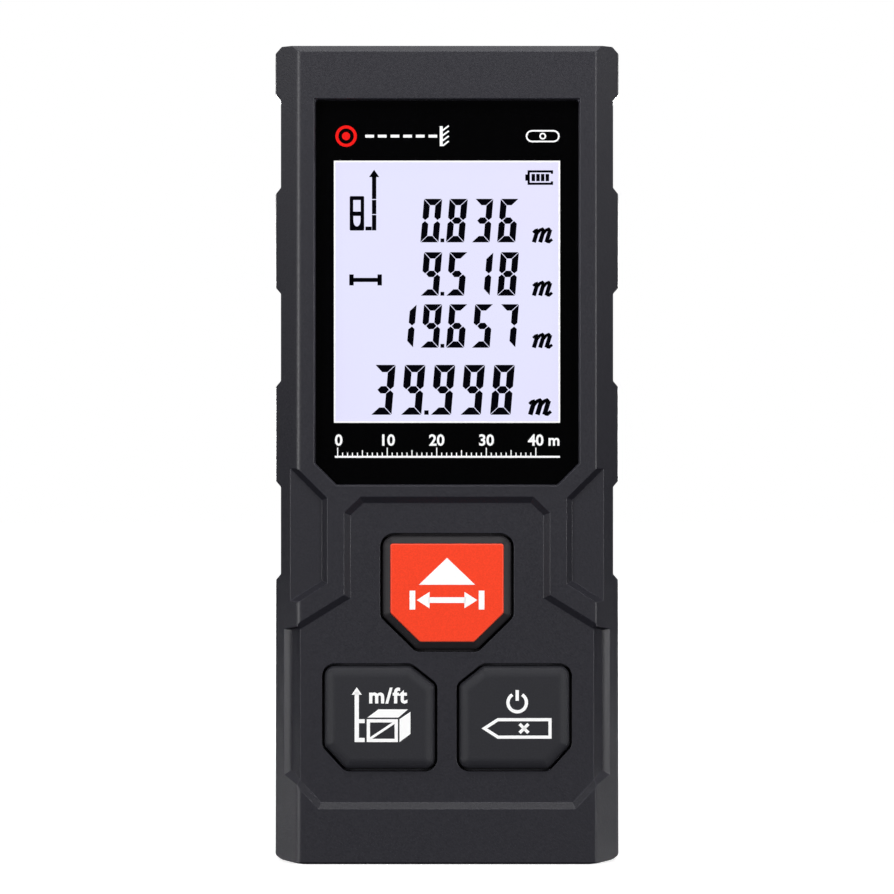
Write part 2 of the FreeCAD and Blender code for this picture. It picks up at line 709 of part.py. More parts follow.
def board_components():
    """Crystal, inductors, capacitors and the charge pump, each a solid on the board's back."""
    sizes = [
        (8.6, 66.0, 3.2, 1.6, 1.0),
        (8.6, 70.0, 2.0, 1.2, 0.8),
        (14.0, 64.0, 4.0, 4.0, 2.0),
        (14.0, 70.5, 3.0, 2.8, 1.2),
        (0.0, 76.5, 6.0, 3.0, 1.0),
        (-8.0, 60.5, 1.6, 0.8, 0.8),
        (-8.0, 74.5, 1.6, 0.8, 0.8),
        (-10.5, 44.0, 3.0, 1.6, 1.6),
        (10.5, 44.0, 5.0, 4.0, 1.75),
        (0.0, 26.0, 4.0, 4.0, 1.0),
        (5.5, 14.0, 2.0, 1.2, 1.2),
    ]
    return Part.makeCompound([
        block(x - wide / 2, x + wide / 2, BOARD_BACK_Y, BOARD_BACK_Y + tall, z - high / 2,
              z + high / 2)
        for x, z, wide, high, tall in sizes
    ])


def buzzer():
    can = round_y(-13.0, 67.0, 4.5, BOARD_BACK_Y, BOARD_BACK_Y + 3.0)
    can = can.makeFillet(0.3, [can.Edges[0]])
    return can.cut(round_y(-13.0, 67.0, 0.8, BOARD_BACK_Y + 2.0, BOARD_BACK_Y + 4.0))


# ---- keypad ----------------------------------------------------------------------------
def key_centres():
    return [READ_CENTRE, (-SMALL_KEY_X, SMALL_KEY_Z), (SMALL_KEY_X, SMALL_KEY_Z)]


def keypad_mat():
    mat = prism(rectangle(-14.8, 14.8, 11.0, 48.0), MAT_Y, BOARD_FRONT_Y, on_face, 1.5)
    for x, z in key_centres():
        mat = mat.cut(round_y(x, z, DOME_FOOT_R - DOME_WALL, MAT_Y - 1, BOARD_FRONT_Y + 1))
    return single(mat)


def key_dome(x, z):
    """Thin cone of the mat that carries a key and snaps through when it is pressed."""
    at, along = V(x, MAT_Y, z), V(0, -1, 0)
    height = MAT_Y - KEY_BASE_Y
    outside = Part.makeCone(DOME_FOOT_R, DOME_HEAD_R, height, at, along)
    inside = Part.makeCone(DOME_FOOT_R - DOME_WALL, DOME_HEAD_R - DOME_WALL, height, at, along)
    return single(outside.cut(inside))


def key_pill(x, z):
    pressed_gap = 0.02
    return round_y(x, z, PILL_R, KEY_BASE_Y, BOARD_FRONT_Y - KEY_TRAVEL - pressed_gap)


def key_cap(hole, radii, top_y, crown):
    """Key with a retaining flange under the face and a rounded shoulder up to its top.

    crown lists (inset, rise) pairs of the shoulder, the rise as a share of its height.
    """
    outline = offset_corners(hole, -KEY_GAP)
    radii = [r - KEY_GAP for r in radii]
    flange = prism(offset_corners(outline, KEY_FLANGE), KEY_BASE_Y, KEY_FLANGE_Y, on_face, 1.5)
    column = prism(outline, KEY_FLANGE_Y, PANEL_Y, on_face, radii)
    wires = []
    for inset, share in crown:
        y = PANEL_Y + (top_y - PANEL_Y) * share
        kept = [max(r - inset, 0.35) for r in radii]
        wires.append(outline_wire(offset_corners(outline, -inset), y, on_face, kept))
    shoulder = Part.makeLoft(wires, True, True)
    return single(join([flange, column, shoulder]))


SMALL_CROWN = [(0.0, 0.0), (0.08, 0.38), (0.24, 0.6), (0.55, 0.77), (0.9, 0.89), (1.2, 0.965),
               (1.5, 1.0)]
READ_CROWN = [(0.0, 0.0), (0.06, 0.28), (0.2, 0.45), (0.45, 0.6), (0.8, 0.77), (1.15, 0.93),
              (1.35, 1.0)]


def read_face_outline():
    return offset_corners(read_key_hole(), -FACE_INSET)


READ_FACE_RADII = [0.5, 0.5, 0.35, 0.35, 0.5, 0.5]


def read_key_frame():
    cap = key_cap(read_key_hole(), READ_RADII, READ_RIM_Y, READ_CROWN)
    pocket = prism(read_face_outline(), READ_RIM_Y - 1, FACE_PLATE_Y, on_face, READ_FACE_RADII)
    return single(cap.cut(pocket))


def read_key_face():
    outline = read_face_outline()
    edge = 0.15
    plate = prism(outline, FACE_PLATE_Y, KEY_TOP_Y + edge, on_face, READ_FACE_RADII)
    soft = [r - edge for r in READ_FACE_RADII]
    top = Part.makeLoft([
        outline_wire(outline, KEY_TOP_Y + edge, on_face, READ_FACE_RADII),
        outline_wire(offset_corners(outline, -edge * 0.3), KEY_TOP_Y + edge * 0.4, on_face, soft),
        outline_wire(offset_corners(outline, -edge), KEY_TOP_Y, on_face, soft),
    ], True, True)
    return single(join([plate, top]))


def small_key(side):
    return key_cap(small_key_hole(side), small_radii(side), KEY_TOP_Y, SMALL_CROWN)


# ---- optics ----------------------------------------------------------------------------
def optics_bezel():
    outer = rectangle(-BEZEL_HALF, BEZEL_HALF, BEZEL_FRONT_Y, BEZEL_REAR_Y)
    collar = offset_corners(outer, -BEZEL_RIM - 0.1)
    edge = 0.3
    bezel = join([
        prism(outer, BEZEL_SEAT, BEZEL_TOP - edge, on_plan, 2.5),
        Part.makeLoft([
            outline_wire(outer, BEZEL_TOP - edge, on_plan, 2.5),
            outline_wire(offset_corners(outer, -edge), BEZEL_TOP, on_plan, 2.5 - edge),
        ], True, True),
        prism(collar, COLLAR_BOTTOM, BEZEL_SEAT, on_plan, 0.9),
    ])
    bezel = bezel.cut(round_z(RECEIVER_X, OPTICS_Y, APERTURE_R, COLLAR_BOTTOM - 1, HEIGHT))
    bezel = bezel.cut(Part.makeCone(APERTURE_R, APERTURE_R + 0.8, 0.8,
                                    V(RECEIVER_X, OPTICS_Y, BEZEL_TOP - 0.8)))
    bezel = bezel.cut(round_z(LASER_X, OPTICS_Y, LASER_APERTURE_R, COLLAR_BOTTOM - 1, HEIGHT))
    bezel = bezel.cut(Part.makeCone(LASER_APERTURE_R, LASER_APERTURE_R + 0.5, 0.5,
                                    V(LASER_X, OPTICS_Y, BEZEL_TOP - 0.5)))
    bezel = bezel.cut(round_z(LASER_X, OPTICS_Y, LASER_WINDOW_R, COLLAR_BOTTOM - 1, BEZEL_SEAT))
    return single(bezel)


def laser_window():
    return round_z(LASER_X, OPTICS_Y, LASER_WINDOW_R, BEZEL_SEAT - 0.8, BEZEL_SEAT)


def optics_gasket():
    """Foam pad that keeps dust out between the bench and the bezel."""
    pad = block(-14.6, 14.6, OPTICS_Y - GASKET_HALF, OPTICS_Y + GASKET_HALF, BLOCK_TOP,
                COLLAR_BOTTOM)
    pad = pad.cut(round_z(RECEIVER_X, OPTICS_Y, RECEIVER_BORE_R, BLOCK_TOP - 1, HEIGHT))
    return single(pad.cut(round_z(LASER_X, OPTICS_Y, BARREL_R, BLOCK_TOP - 1, HEIGHT)))


def optics_block():
    """Moulded bench that holds the receiver lens, its light tube and the laser barrel."""
    y = OPTICS_Y
    (left_ear, ear_z), (right_ear, _) = EARS[:2]
    solids = [
        round_z(RECEIVER_X, y, RECEIVER_WALL_R, BLOCK_BOTTOM, BLOCK_TOP),
        round_z(LASER_X, y, LASER_WALL_R, BLOCK_BOTTOM, BLOCK_TOP),
        block(RECEIVER_X, LASER_X, y - 2.5, EAR_BACK_Y, BLOCK_BOTTOM, BLOCK_TOP),
        block(-14.0, 14.4, BEZEL_FRONT_Y + 1.8, BEZEL_REAR_Y - 1.8, BLOCK_TOP - 2, BLOCK_TOP),
        block(left_ear, -11.3, EAR_FRONT_Y, EAR_BACK_Y, ear_z - EAR_R, ear_z + EAR_R),
        block(11.0, right_ear, EAR_FRONT_Y, EAR_BACK_Y, ear_z - EAR_R, ear_z + EAR_R),
        block(EARS[2][0] - EAR_R, EARS[2][0] + EAR_R, EAR_FRONT_Y, EAR_BACK_Y, EARS[2][1],
              BLOCK_BOTTOM + 1),
    ]
    solids += [round_y(x, z, EAR_R, EAR_FRONT_Y, EAR_BACK_Y) for x, z in EARS]
    bench = join(solids)
    cuts = [
        round_z(RECEIVER_X, y, RECEIVER_CONE_R, BLOCK_BOTTOM - 1, LENS_BOTTOM + 1),
        round_z(RECEIVER_X, y, RECEIVER_BORE_R, LENS_BOTTOM, BLOCK_TOP + 1),
        round_z(LASER_X, y, BARREL_R, BLOCK_BOTTOM - 1, BLOCK_TOP + 1),
    ]
    cuts += [round_y(ex, ez, 1.0, EAR_FRONT_Y - 1, EAR_BACK_Y + 1) for ex, ez in EARS]
    for cutter in cuts:
        bench = bench.cut(cutter)
    return single(bench)


def crowned_disc(x, y, radius, z0, edge, crown):
    """Plano-convex lens: a disc with a spherical top."""
    ball_r = (radius ** 2 + crown ** 2) / (2 * crown)
    top = z0 + edge + crown
    return round_z(x, y, radius, z0, top).common(Part.makeSphere(ball_r, V(x, y, top - ball_r)))


def receiver_lens():
    return crowned_disc(RECEIVER_X, OPTICS_Y, LENS_R, LENS_BOTTOM, LENS_EDGE, LENS_CROWN)


def lens_retainer():
    z0 = LENS_BOTTOM + LENS_EDGE + 0.35
    ring = round_z(RECEIVER_X, OPTICS_Y, RECEIVER_BORE_R, z0, z0 + 1.0)
    return ring.cut(round_z(RECEIVER_X, OPTICS_Y, 6.1, z0 - 1, z0 + 2))


def receiver_board():
    outline = rectangle(RECEIVER_X - 7.4, RECEIVER_X + 7.0, OPTICS_Y - 7.2, OPTICS_Y + 7.0)
    return prism(outline, BLOCK_BOTTOM - 1.0, BLOCK_BOTTOM, on_plan, 1.0)


def photodiode():
    flange = round_z(RECEIVER_X, OPTICS_Y, 2.7, BLOCK_BOTTOM, BLOCK_BOTTOM + 0.6)
    can = round_z(RECEIVER_X, OPTICS_Y, 2.3, BLOCK_BOTTOM, BLOCK_BOTTOM + 2.8)
    return single(join([flange, can.makeFillet(0.4, [can.Edges[0]])]))


def laser_barrel():
    y = OPTICS_Y
    barrel = round_z(LASER_X, y, BARREL_R, BARREL_BOTTOM, BARREL_TOP)
    barrel = barrel.cut(round_z(LASER_X, y, 3.0, BARREL_BOTTOM + 3.0, BARREL_TOP - 2.0))
    barrel = barrel.cut(round_z(LASER_X, y, 1.8, BARREL_TOP - 3.0, BARREL_TOP + 1))
    return single(barrel.cut(round_z(LASER_X, y, 2.8, BARREL_BOTTOM - 1, BARREL_BOTTOM + 3.0)))


def collimator_lens():
    return crowned_disc(LASER_X, OPTICS_Y, 3.0, BARREL_TOP - 5.2, 1.6, 0.8)


def laser_diode():
    z0 = BARREL_BOTTOM + 0.4
    solids = [
        round_z(LASER_X, OPTICS_Y, 2.8, z0, z0 + 1.2),
        round_z(LASER_X, OPTICS_Y, 1.8, z0, z0 + 3.4),
    ]
    for turn in range(3):
        angle = math.radians(120 * turn + 90)
        solids.append(round_z(LASER_X + 1.1 * math.cos(angle), OPTICS_Y + 1.1 * math.sin(angle),
                              0.22, z0 - 4.8, z0))
    return single(join(solids))


def laser_flex():
    """Flexible strip from the diode's leads to the back of the board."""
    x0, x1, z = LASER_X - 2.0, LASER_X + 2.0, BARREL_BOTTOM - 4.1
    strip = join([
        block(x0, x1, BOARD_BACK_Y, OPTICS_Y + 2.0, z, z + 0.2),
        block(x0, x1, BOARD_BACK_Y, BOARD_BACK_Y + 0.2, z - 8.0, z + 0.2),
    ])
    for turn in range(3):
        angle = math.radians(120 * turn + 90)
        strip = strip.cut(round_z(LASER_X + 1.1 * math.cos(angle),
                                  OPTICS_Y + 1.1 * math.sin(angle), 0.22, z - 1, z + 1))
    return single(strip)


# ---- battery bay contents --------------------------------------------------------------
def cell_span(side):
    """Lowest and highest Z of a cell without its nub, and the direction of the nub."""
    if side < 0:
        top = BAY_TOP - PLATE - CELL_NUB
        return top - CELL_LENGTH, top, 1
    bottom = BAY_BOTTOM + PLATE + CELL_NUB
    return bottom, bottom + CELL_LENGTH, -1


def cell_can(side):
    z0, z1, nub = cell_span(side)
    can = round_z(side * CELL_X, CELL_Y, CELL_CAN_R, z0, z1)
    nub_z = z1 if nub > 0 else z0 - CELL_NUB
    return single(can.fuse(round_z(side * CELL_X, CELL_Y, CELL_NUB_R, nub_z, nub_z + CELL_NUB)))


def cell_sleeve(side):
    z0, z1, _ = cell_span(side)
    sleeve = round_z(side * CELL_X, CELL_Y, CELL_R, z0 + 0.3, z1 - 0.3)
    return sleeve.cut(round_z(side * CELL_X, CELL_Y, CELL_CAN_R, z0 - 1, z1 + 1))


def contact_bridge():
    return block(-9.5, 9.5, 1.5, 9.5, BAY_BOTTOM, BAY_BOTTOM + PLATE)


def contact_plate(side):
    """Plate at the top of the bay, with a tab that reaches through to the board."""
    x, z0, z1 = side * CELL_X, BAY_TOP - PLATE, BAY_TOP
    return join([
        block(x - 4.0, x + 4.0, 1.5, 9.5, z0, z1),
        block(x - 0.7, x + 0.7, BOARD_BACK_Y, 1.5, z0, z1),
    ])


def contact_spring(side):
    """Coil spring on the negative end of a cell."""
    z0, z1, nub = cell_span(side)
    if nub > 0:
        low, high = BAY_BOTTOM + PLATE, z0
    else:
        low, high = z1, BAY_TOP - PLATE
    rise = high - low - 2 * SPRING_WIRE_R - 0.1
    helix = Part.makeHelix(SPRING_PITCH, rise, SPRING_R)
    turns = [2 * math.pi * i / SPRING_WIRE_SIDES for i in range(SPRING_WIRE_SIDES + 1)]
    section = Part.makePolygon([V(SPRING_R + SPRING_WIRE_R * math.cos(a), 0,
                                  SPRING_WIRE_R * math.sin(a)) for a in turns])
    coil = Part.Wire(helix.Edges).makePipeShell([section], True, True)
    coil.translate(V(side * CELL_X, CELL_Y, low + SPRING_WIRE_R + 0.05))
    return coil


# ---- fasteners -------------------------------------------------------------------------
def cross_screw(x, z, seat_y, head_r, head_high, shank_r, length, towards):
    """Pan head screw along Y with a cross recess; towards is +1 or -1, the way it is driven."""
    base, along = V(x, seat_y, z), V(0, towards, 0)
    head = Part.makeCylinder(head_r, head_high, base, along * -1)
    head = head.makeFillet(head_high * 0.45, [e for e in head.Edges
                                              if abs(e.BoundBox.YLength) < 1e-6
                                              and abs(e.BoundBox.YMin - seat_y) > head_high / 2])
    screw = head.fuse(Part.makeCylinder(shank_r, length, base, along))
    depth = head_high * 0.55
    top = seat_y - towards * head_high
    y0, y1 = sorted((top - towards, top + towards * depth))
    for wide, high in ((head_r * 1.3, head_r * 0.28), (head_r * 0.28, head_r * 1.3)):
        screw = screw.cut(block(x - wide / 2, x + wide / 2, y0, y1, z - high / 2, z + high / 2))
    return single(screw)


def housing_screws():
    return Part.makeCompound([
        cross_screw(x, z, SCREW_SEAT_Y, SCREW_HEAD_R, 1.3, SCREW_R, 10.0, -1)
        for x, z in HOUSING_SCREWS
    ])


def board_screws():
    return Part.makeCompound([
        cross_screw(x, z, BOARD_BACK_Y, 1.5, 0.9, BOARD_SCREW_R, 3.2, -1)
        for x, z in BOARD_SCREWS
    ])


def optics_screws():
    return Part.makeCompound([
        cross_screw(x, z, EAR_FRONT_Y, 1.7, 1.1, BOARD_SCREW_R, 5.4, 1)
        for x, z in EARS
    ])


def pieces():
    """Every piece of the meter by its name."""
    made = {
        "front_shell": front_shell(),
        "rear_shell": rear_shell(),
        "battery_door": battery_door(),
        "battery_foam": battery_foam(),
        "back_label": back_label(),
        "display_window": display_window(),
        "window_mask": window_mask(),
        "window_tape": window_tape(),
        "lcd_polarizer": lcd_polarizer(),
        "lcd_glass": lcd_glass(),
        "lcd_backlight": lcd_backlight(),
        "backlight_led": backlight_led(),
        "lcd_connector": lcd_connector(),
        "main_board": main_board(),
        "key_contacts": key_contacts(),
        "microcontroller": microcontroller(),
        "board_components": board_components(),
        "buzzer": buzzer(),
        "keypad_mat": keypad_mat(),
        "read_key_frame": read_key_frame(),
        "read_key_face": read_key_face(),
        "unit_key_cap": small_key(-1),
        "clear_key_cap": small_key(1),
        "optics_bezel": optics_bezel(),
        "laser_window": laser_window(),
        "optics_gasket": optics_gasket(),
        "optics_block": optics_block(),
        "receiver_lens": receiver_lens(),
        "lens_retainer": lens_retainer(),
        "receiver_board": receiver_board(),
        "photodiode": photodiode(),
        "laser_barrel": laser_barrel(),
        "collimator_lens": collimator_lens(),
        "laser_diode": laser_diode(),
        "laser_flex": laser_flex(),
        "contact_bridge": contact_bridge(),
        "housing_screws": housing_screws(),
        "board_screws": board_screws(),
        "optics_screws": optics_screws(),
    }
    for name, (x, z) in zip(("read", "unit", "clear"), key_centres()):
        made[name + "_key_dome"] = key_dome(x, z)
        made[name + "_key_pill"] = key_pill(x, z)
    for name, side in (("left", -1), ("right", 1)):
        made["battery_can_" + name] = cell_can(side)
        made["battery_sleeve_" + name] = cell_sleeve(side)
        made["contact_plate_" + name] = contact_plate(side)
        made["contact_spring_" + name] = contact_spring(side)
    return made


def main():
    os.makedirs("parts", exist_ok=True)
    for name, shape in pieces().items():
        shape.exportStep(f"parts/{name}.step")
        box = shape.BoundBox
        print(f"{name}: {len(shape.Solids)} solid(s), valid {shape.isValid()}, "
              f"{shape.Volume:.1f} mm3, {box.XLength:.1f} x {box.YLength:.1f} x {box.ZLength:.1f}")


main()
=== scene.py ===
import math

import bpy
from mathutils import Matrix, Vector


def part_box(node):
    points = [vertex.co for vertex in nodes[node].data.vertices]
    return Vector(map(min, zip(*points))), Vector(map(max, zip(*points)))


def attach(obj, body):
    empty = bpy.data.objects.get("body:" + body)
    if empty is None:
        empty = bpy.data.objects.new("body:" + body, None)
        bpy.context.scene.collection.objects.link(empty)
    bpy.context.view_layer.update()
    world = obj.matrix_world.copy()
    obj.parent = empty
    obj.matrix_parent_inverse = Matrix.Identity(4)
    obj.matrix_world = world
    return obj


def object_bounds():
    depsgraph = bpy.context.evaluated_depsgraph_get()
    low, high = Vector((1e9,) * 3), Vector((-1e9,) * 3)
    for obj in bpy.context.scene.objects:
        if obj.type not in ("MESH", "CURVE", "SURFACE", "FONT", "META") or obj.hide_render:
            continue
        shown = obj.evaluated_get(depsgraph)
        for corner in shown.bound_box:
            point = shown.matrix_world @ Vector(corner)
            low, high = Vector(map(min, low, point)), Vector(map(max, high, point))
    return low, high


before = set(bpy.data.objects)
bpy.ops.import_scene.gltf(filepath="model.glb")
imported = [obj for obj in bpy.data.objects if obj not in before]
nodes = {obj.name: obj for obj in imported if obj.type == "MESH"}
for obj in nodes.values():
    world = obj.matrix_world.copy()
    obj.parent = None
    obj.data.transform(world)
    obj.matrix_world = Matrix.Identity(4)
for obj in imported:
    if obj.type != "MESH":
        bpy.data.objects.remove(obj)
cad_low, cad_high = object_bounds()

# The laser distance meter stands on its bottom end, its face along -Y. Lengths in the helpers
# below are in millimetres in the CAD model's own frame; MM turns them into Blender's metres.
MM = 0.001


def node_box(name):
    """Lowest and highest corner of a CAD node, in millimetres."""
    low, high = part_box(name)
    return low / MM, high / MM


# ---- shader helpers --------------------------------------------------------------------
class Shader:
    """A material under construction, with short calls for the nodes used here."""

    def __init__(self, name, colour=(0.5, 0.5, 0.5), roughness=0.5, metallic=0.0, **sockets):
        self.material = bpy.data.materials.new(name)
        self.material.use_nodes = True
        self.material.diffuse_color = (*colour, 1.0)
        self.tree = self.material.node_tree
        self.bsdf = self.tree.nodes["Principled BSDF"]
        self.bsdf.inputs["Base Color"].default_value = (*colour, 1.0)
        self.bsdf.inputs["Roughness"].default_value = roughness
        self.bsdf.inputs["Metallic"].default_value = metallic
        for socket, value in sockets.items():
            self.bsdf.inputs[socket.replace("_", " ")].default_value = value
        self.place = self.tree.nodes.new("ShaderNodeTexCoord").outputs["Object"]

    def feed(self, socket, source):
        """Puts a number, a colour or another node's output into a socket."""
        if isinstance(source, bpy.types.NodeSocket):
            self.tree.links.new(source, socket)
        elif source is not None:
            socket.default_value = source

    def mapped(self, scale=(1, 1, 1), turn=(0, 0, 0)):
        """Texture place, scaled and turned; a scale under 1 stretches the texture."""
        node = self.tree.nodes.new("ShaderNodeMapping")
        node.inputs["Scale"].default_value = scale
        node.inputs["Rotation"].default_value = turn
        self.feed(node.inputs["Vector"], self.place)
        return node.outputs["Vector"]

    def noise(self, size, detail=2.0, roughness=0.5, place=None):
        """Noise with features about this many millimetres across."""
        node = self.tree.nodes.new("ShaderNodeTexNoise")
        node.inputs["Scale"].default_value = 1.0 / (size * MM)
        node.inputs["Detail"].default_value = detail
        node.inputs["Roughness"].default_value = roughness
        self.feed(node.inputs["Vector"], place or self.place)
        return node.outputs["Fac"]

    def cells(self, size, feature="F1", place=None):
        """Voronoi cells about this many millimetres across."""
        node = self.tree.nodes.new("ShaderNodeTexVoronoi")
        node.feature = feature
        node.inputs["Scale"].default_value = 1.0 / (size * MM)
        self.feed(node.inputs["Vector"], place or self.place)
        return node.outputs["Distance"]

    def math(self, operation, a, b=None):
        node = self.tree.nodes.new("ShaderNodeMath")
        node.operation = operation
        self.feed(node.inputs[0], a)
        self.feed(node.inputs[1], b)
        return node.outputs[0]

    def span(self, value, low, high, to_low=0.0, to_high=1.0):
        """The value's stretch from low to high, mapped to another and held at its ends."""
        node = self.tree.nodes.new("ShaderNodeMapRange")
        for index, number in enumerate((low, high, to_low, to_high), start=1):
            node.inputs[index].default_value = number
        self.feed(node.inputs[0], value)
        return node.outputs[0]

    def blend(self, amount, first, second):
        """From the first colour at 0 to the second at 1."""
        node = self.tree.nodes.new("ShaderNodeMix")
        node.data_type = "RGBA"
        self.feed(node.inputs["Factor"], amount)
        for socket, source in (("A", first), ("B", second)):
            if isinstance(source, tuple):
                source = (*source, 1.0)
            target = next(s for s in node.inputs if s.name == socket and s.type == "RGBA")
            self.feed(target, source)
        return next(s for s in node.outputs if s.type == "RGBA")

    def axis(self, name):
        """Place along X, Y or Z, in metres."""
        node = self.tree.nodes.new("ShaderNodeSeparateXYZ")
        self.feed(node.inputs[0], self.place)
        return node.outputs[name]

    def soft_edge(self, radius):
        """Normal that rounds the geometry's sharp edges off by this radius in millimetres."""
        node = self.tree.nodes.new("ShaderNodeBevel")
        node.samples = 6
        node.inputs["Radius"].default_value = radius * MM
        return node.outputs["Normal"]

    def edge_mask(self, radius):
        """1 on sharp edges, falling to 0 on flat ground."""
        ground = self.tree.nodes.new("ShaderNodeNewGeometry").outputs["Normal"]
        node = self.tree.nodes.new("ShaderNodeVectorMath")
        node.operation = "DOT_PRODUCT"
        self.feed(node.inputs[0], self.soft_edge(radius))
        self.feed(node.inputs[1], ground)
        return self.span(node.outputs["Value"], 1.0, 0.86)

    def bump(self, height, depth, under=None):
        """Relief of this depth in millimetres."""
        node = self.tree.nodes.new("ShaderNodeBump")
        node.inputs["Distance"].default_value = depth * MM
        self.feed(node.inputs["Height"], height)
        self.feed(node.inputs["Normal"], under)
        return node.outputs["Normal"]

    def set(self, **sockets):
        """Feeds the surface's sockets, an underscore standing for each space."""
        for socket, source in sockets.items():
            if isinstance(source, tuple):
                source = (*source, 1.0)
            self.feed(self.bsdf.inputs[socket.replace("_", " ")], source)
        return self


def dress(shader, *names):
    """Gives CAD nodes this finish."""
    for name in names:
        nodes[name].data.materials.clear()
        nodes[name].data.materials.append(shader.material)


def tint(colour, factor):
    """The colour made this many times as bright."""
    return tuple(min(1.0, c * factor) for c in colour)


# ---- finishes --------------------------------------------------------------------------
def moulded_plastic(name, colour, roughness, grain, depth, edge=0.14, wear_and_highlight=2.0, rim=None,
                    **sockets):
    """Spark-eroded mould texture, soft edges, and polished corners paler by rubbing and by a
    painted highlight, or in rim.
    """
    s = Shader(name, colour, roughness, **sockets)
    fine = s.noise(grain, detail=3.0, roughness=0.65)
    pits = s.cells(grain * 1.4)
    broad = s.noise(grain * 60, detail=2.0)
    texture = s.math("ADD", s.math("MULTIPLY", fine, 0.7), s.math("MULTIPLY", pits, 0.45))
    # Paler convex edges: partly rubbing, partly a painted highlight along the edges that catch the
    # light.
    rubbed_and_highlit = s.math("MULTIPLY", s.edge_mask(edge * 1.8), s.span(broad, 0.35, 0.65, 0.35, 1.0))
    speckled = s.blend(s.span(texture, 0.3, 0.8), tint(colour, 0.86), tint(colour, 1.16))
    blotched = s.blend(s.span(broad, 0.3, 0.7, 0.0, 0.25), speckled, tint(colour, 1.04))
    s.set(Base_Color=s.blend(rubbed_and_highlit, blotched, rim or tint(colour, wear_and_highlight)))
    matte = s.span(fine, 0.3, 0.7, roughness - 0.05, roughness + 0.06)
    s.set(Roughness=s.math("SUBTRACT", matte, s.math("MULTIPLY", rubbed_and_highlit, 0.12)))
    s.set(Normal=s.bump(texture, depth, s.soft_edge(edge)))
    return s


def smooth_plastic(name, colour, roughness, **sockets):
    """Polished or satin moulding: faint flow marks and handling smudges."""
    s = Shader(name, colour, roughness, **sockets)
    flow = s.noise(3.0, detail=3.0, place=s.mapped(scale=(1, 1, 0.3)))
    dust = s.noise(0.25, detail=2.0)
    s.set(Base_Color=s.blend(s.span(flow, 0.3, 0.7), tint(colour, 0.93), tint(colour, 1.07)))
    s.set(Roughness=s.span(flow, 0.3, 0.7, roughness * 0.85, roughness * 1.15))
    s.set(Normal=s.bump(dust, 0.0015, s.soft_edge(0.1)))
    return s


def metal(name, colour, roughness, turned=None):
    """Plated or machined metal; turned metal has rings along its axis (Y or Z)."""
    s = Shader(name, colour, roughness, metallic=1.0)
    stretch = {None: (1, 1, 1), "Y": (0.03, 1, 0.03), "Z": (0.03, 0.03, 1)}[turned]
    lines = s.noise(0.12 if turned else 0.35, detail=3.0, place=s.mapped(scale=stretch))
    stain = s.noise(2.5, detail=3.0)
    s.set(Base_Color=s.blend(s.span(stain, 0.35, 0.7), tint(colour, 0.86), tint(colour, 1.05)))
    s.set(Roughness=s.span(stain, 0.3, 0.7, roughness * 0.8, roughness * 1.25))
    s.set(Normal=s.bump(lines, 0.003, s.soft_edge(0.06)))
    return s


def clear_acrylic():
    """Window: passes light straight through, with a polished surface and faint hairlines."""
    s = Shader("clear_acrylic", (0.98, 0.98, 0.99), 0.02, Transmission_Weight=1.0, IOR=1.01)
    tree = s.tree
    through = tree.nodes.new("ShaderNodeBsdfTransparent")
    through.inputs["Color"].default_value = (0.985, 0.985, 0.99, 1.0)
    gloss = tree.nodes.new("ShaderNodeBsdfGlossy")
    gloss.inputs["Color"].default_value = (1, 1, 1, 1)
    hairlines = s.noise(0.5, detail=2.0, place=s.mapped(scale=(0.06, 1, 1), turn=(0, 0.5, 0)))
    s.feed(gloss.inputs["Roughness"], s.span(hairlines, 0.4, 0.75, 0.015, 0.05))
    s.feed(gloss.inputs["Normal"], s.bump(hairlines, 0.0002))
    fresnel = tree.nodes.new("ShaderNodeFresnel")
    fresnel.inputs["IOR"].default_value = 1.45
    inner = tree.nodes.new("ShaderNodeNewGeometry").outputs["Backfacing"]
    outer = s.math("SUBTRACT", 1.0, inner)
    mix = tree.nodes.new("ShaderNodeMixShader")
    s.feed(mix.inputs[0], s.math("MULTIPLY", fresnel.outputs[0], outer))
    s.feed(mix.inputs[1], through.outputs[0])
    s.feed(mix.inputs[2], gloss.outputs[0])
    s.feed(tree.nodes["Material Output"].inputs["Surface"], mix.outputs[0])
    return s


def coated_lens():
    """Optical glass with a blue-violet coating."""
    s = Shader("coated_lens", (0.08, 0.10, 0.22), 0.03, Coat_Weight=1.0, Coat_Roughness=0.02,
               IOR=1.6)
    bloom = s.noise(5.0, detail=1.0)
    rim = s.tree.nodes.new("ShaderNodeLayerWeight")
    rim.inputs["Blend"].default_value = 0.35
    deep = s.blend(bloom, (0.015, 0.02, 0.07), (0.03, 0.02, 0.09))
    s.set(Base_Color=s.blend(rim.outputs["Facing"], deep, (0.16, 0.10, 0.32)))
    s.set(Roughness=s.span(bloom, 0.3, 0.7, 0.02, 0.05))
    return s


def lit_display():
    """Lit face of the display: even lavender, a touch deeper towards the bottom."""
    s = Shader("lit_display", (0.02, 0.02, 0.022), 0.35)
    low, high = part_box("lcd_polarizer")
    height = s.span(s.axis("Z"), low.z, high.z)
    cloud = s.noise(14.0, detail=1.0)
    glow = s.blend(height, (0.775, 0.765, 0.985), (0.800, 0.785, 1.0))
    uneven = s.blend(s.span(cloud, 0.35, 0.65), glow, (0.785, 0.785, 0.985))
    s.set(Emission_Color=uneven)
    s.bsdf.inputs["Emission Strength"].default_value = 1.04
    s.set(Normal=s.bump(s.noise(0.3), 0.0005))
    return s


def printed_ink(name, colour, roughness=0.55, glow=0.0, **sockets):
    """Screen-printed ink: slightly uneven cover and a fine orange-peel surface; a glow paints light
    into it.
    """
    s = Shader(name, colour, roughness, **sockets)
    cover = s.noise(0.35, detail=3.0)
    laid = s.blend(s.span(cover, 0.3, 0.7), tint(colour, 0.94), tint(colour, 1.03))
    s.set(Base_Color=laid)
    # Glow: painted light, the ink giving off light of its own though it is no lamp.
    if glow:
        s.set(Emission_Color=laid)
        s.bsdf.inputs["Emission Strength"].default_value = glow
    s.set(Roughness=s.span(cover, 0.3, 0.7, roughness - 0.05, roughness + 0.05))
    s.set(Normal=s.bump(cover, 0.002))
    return s


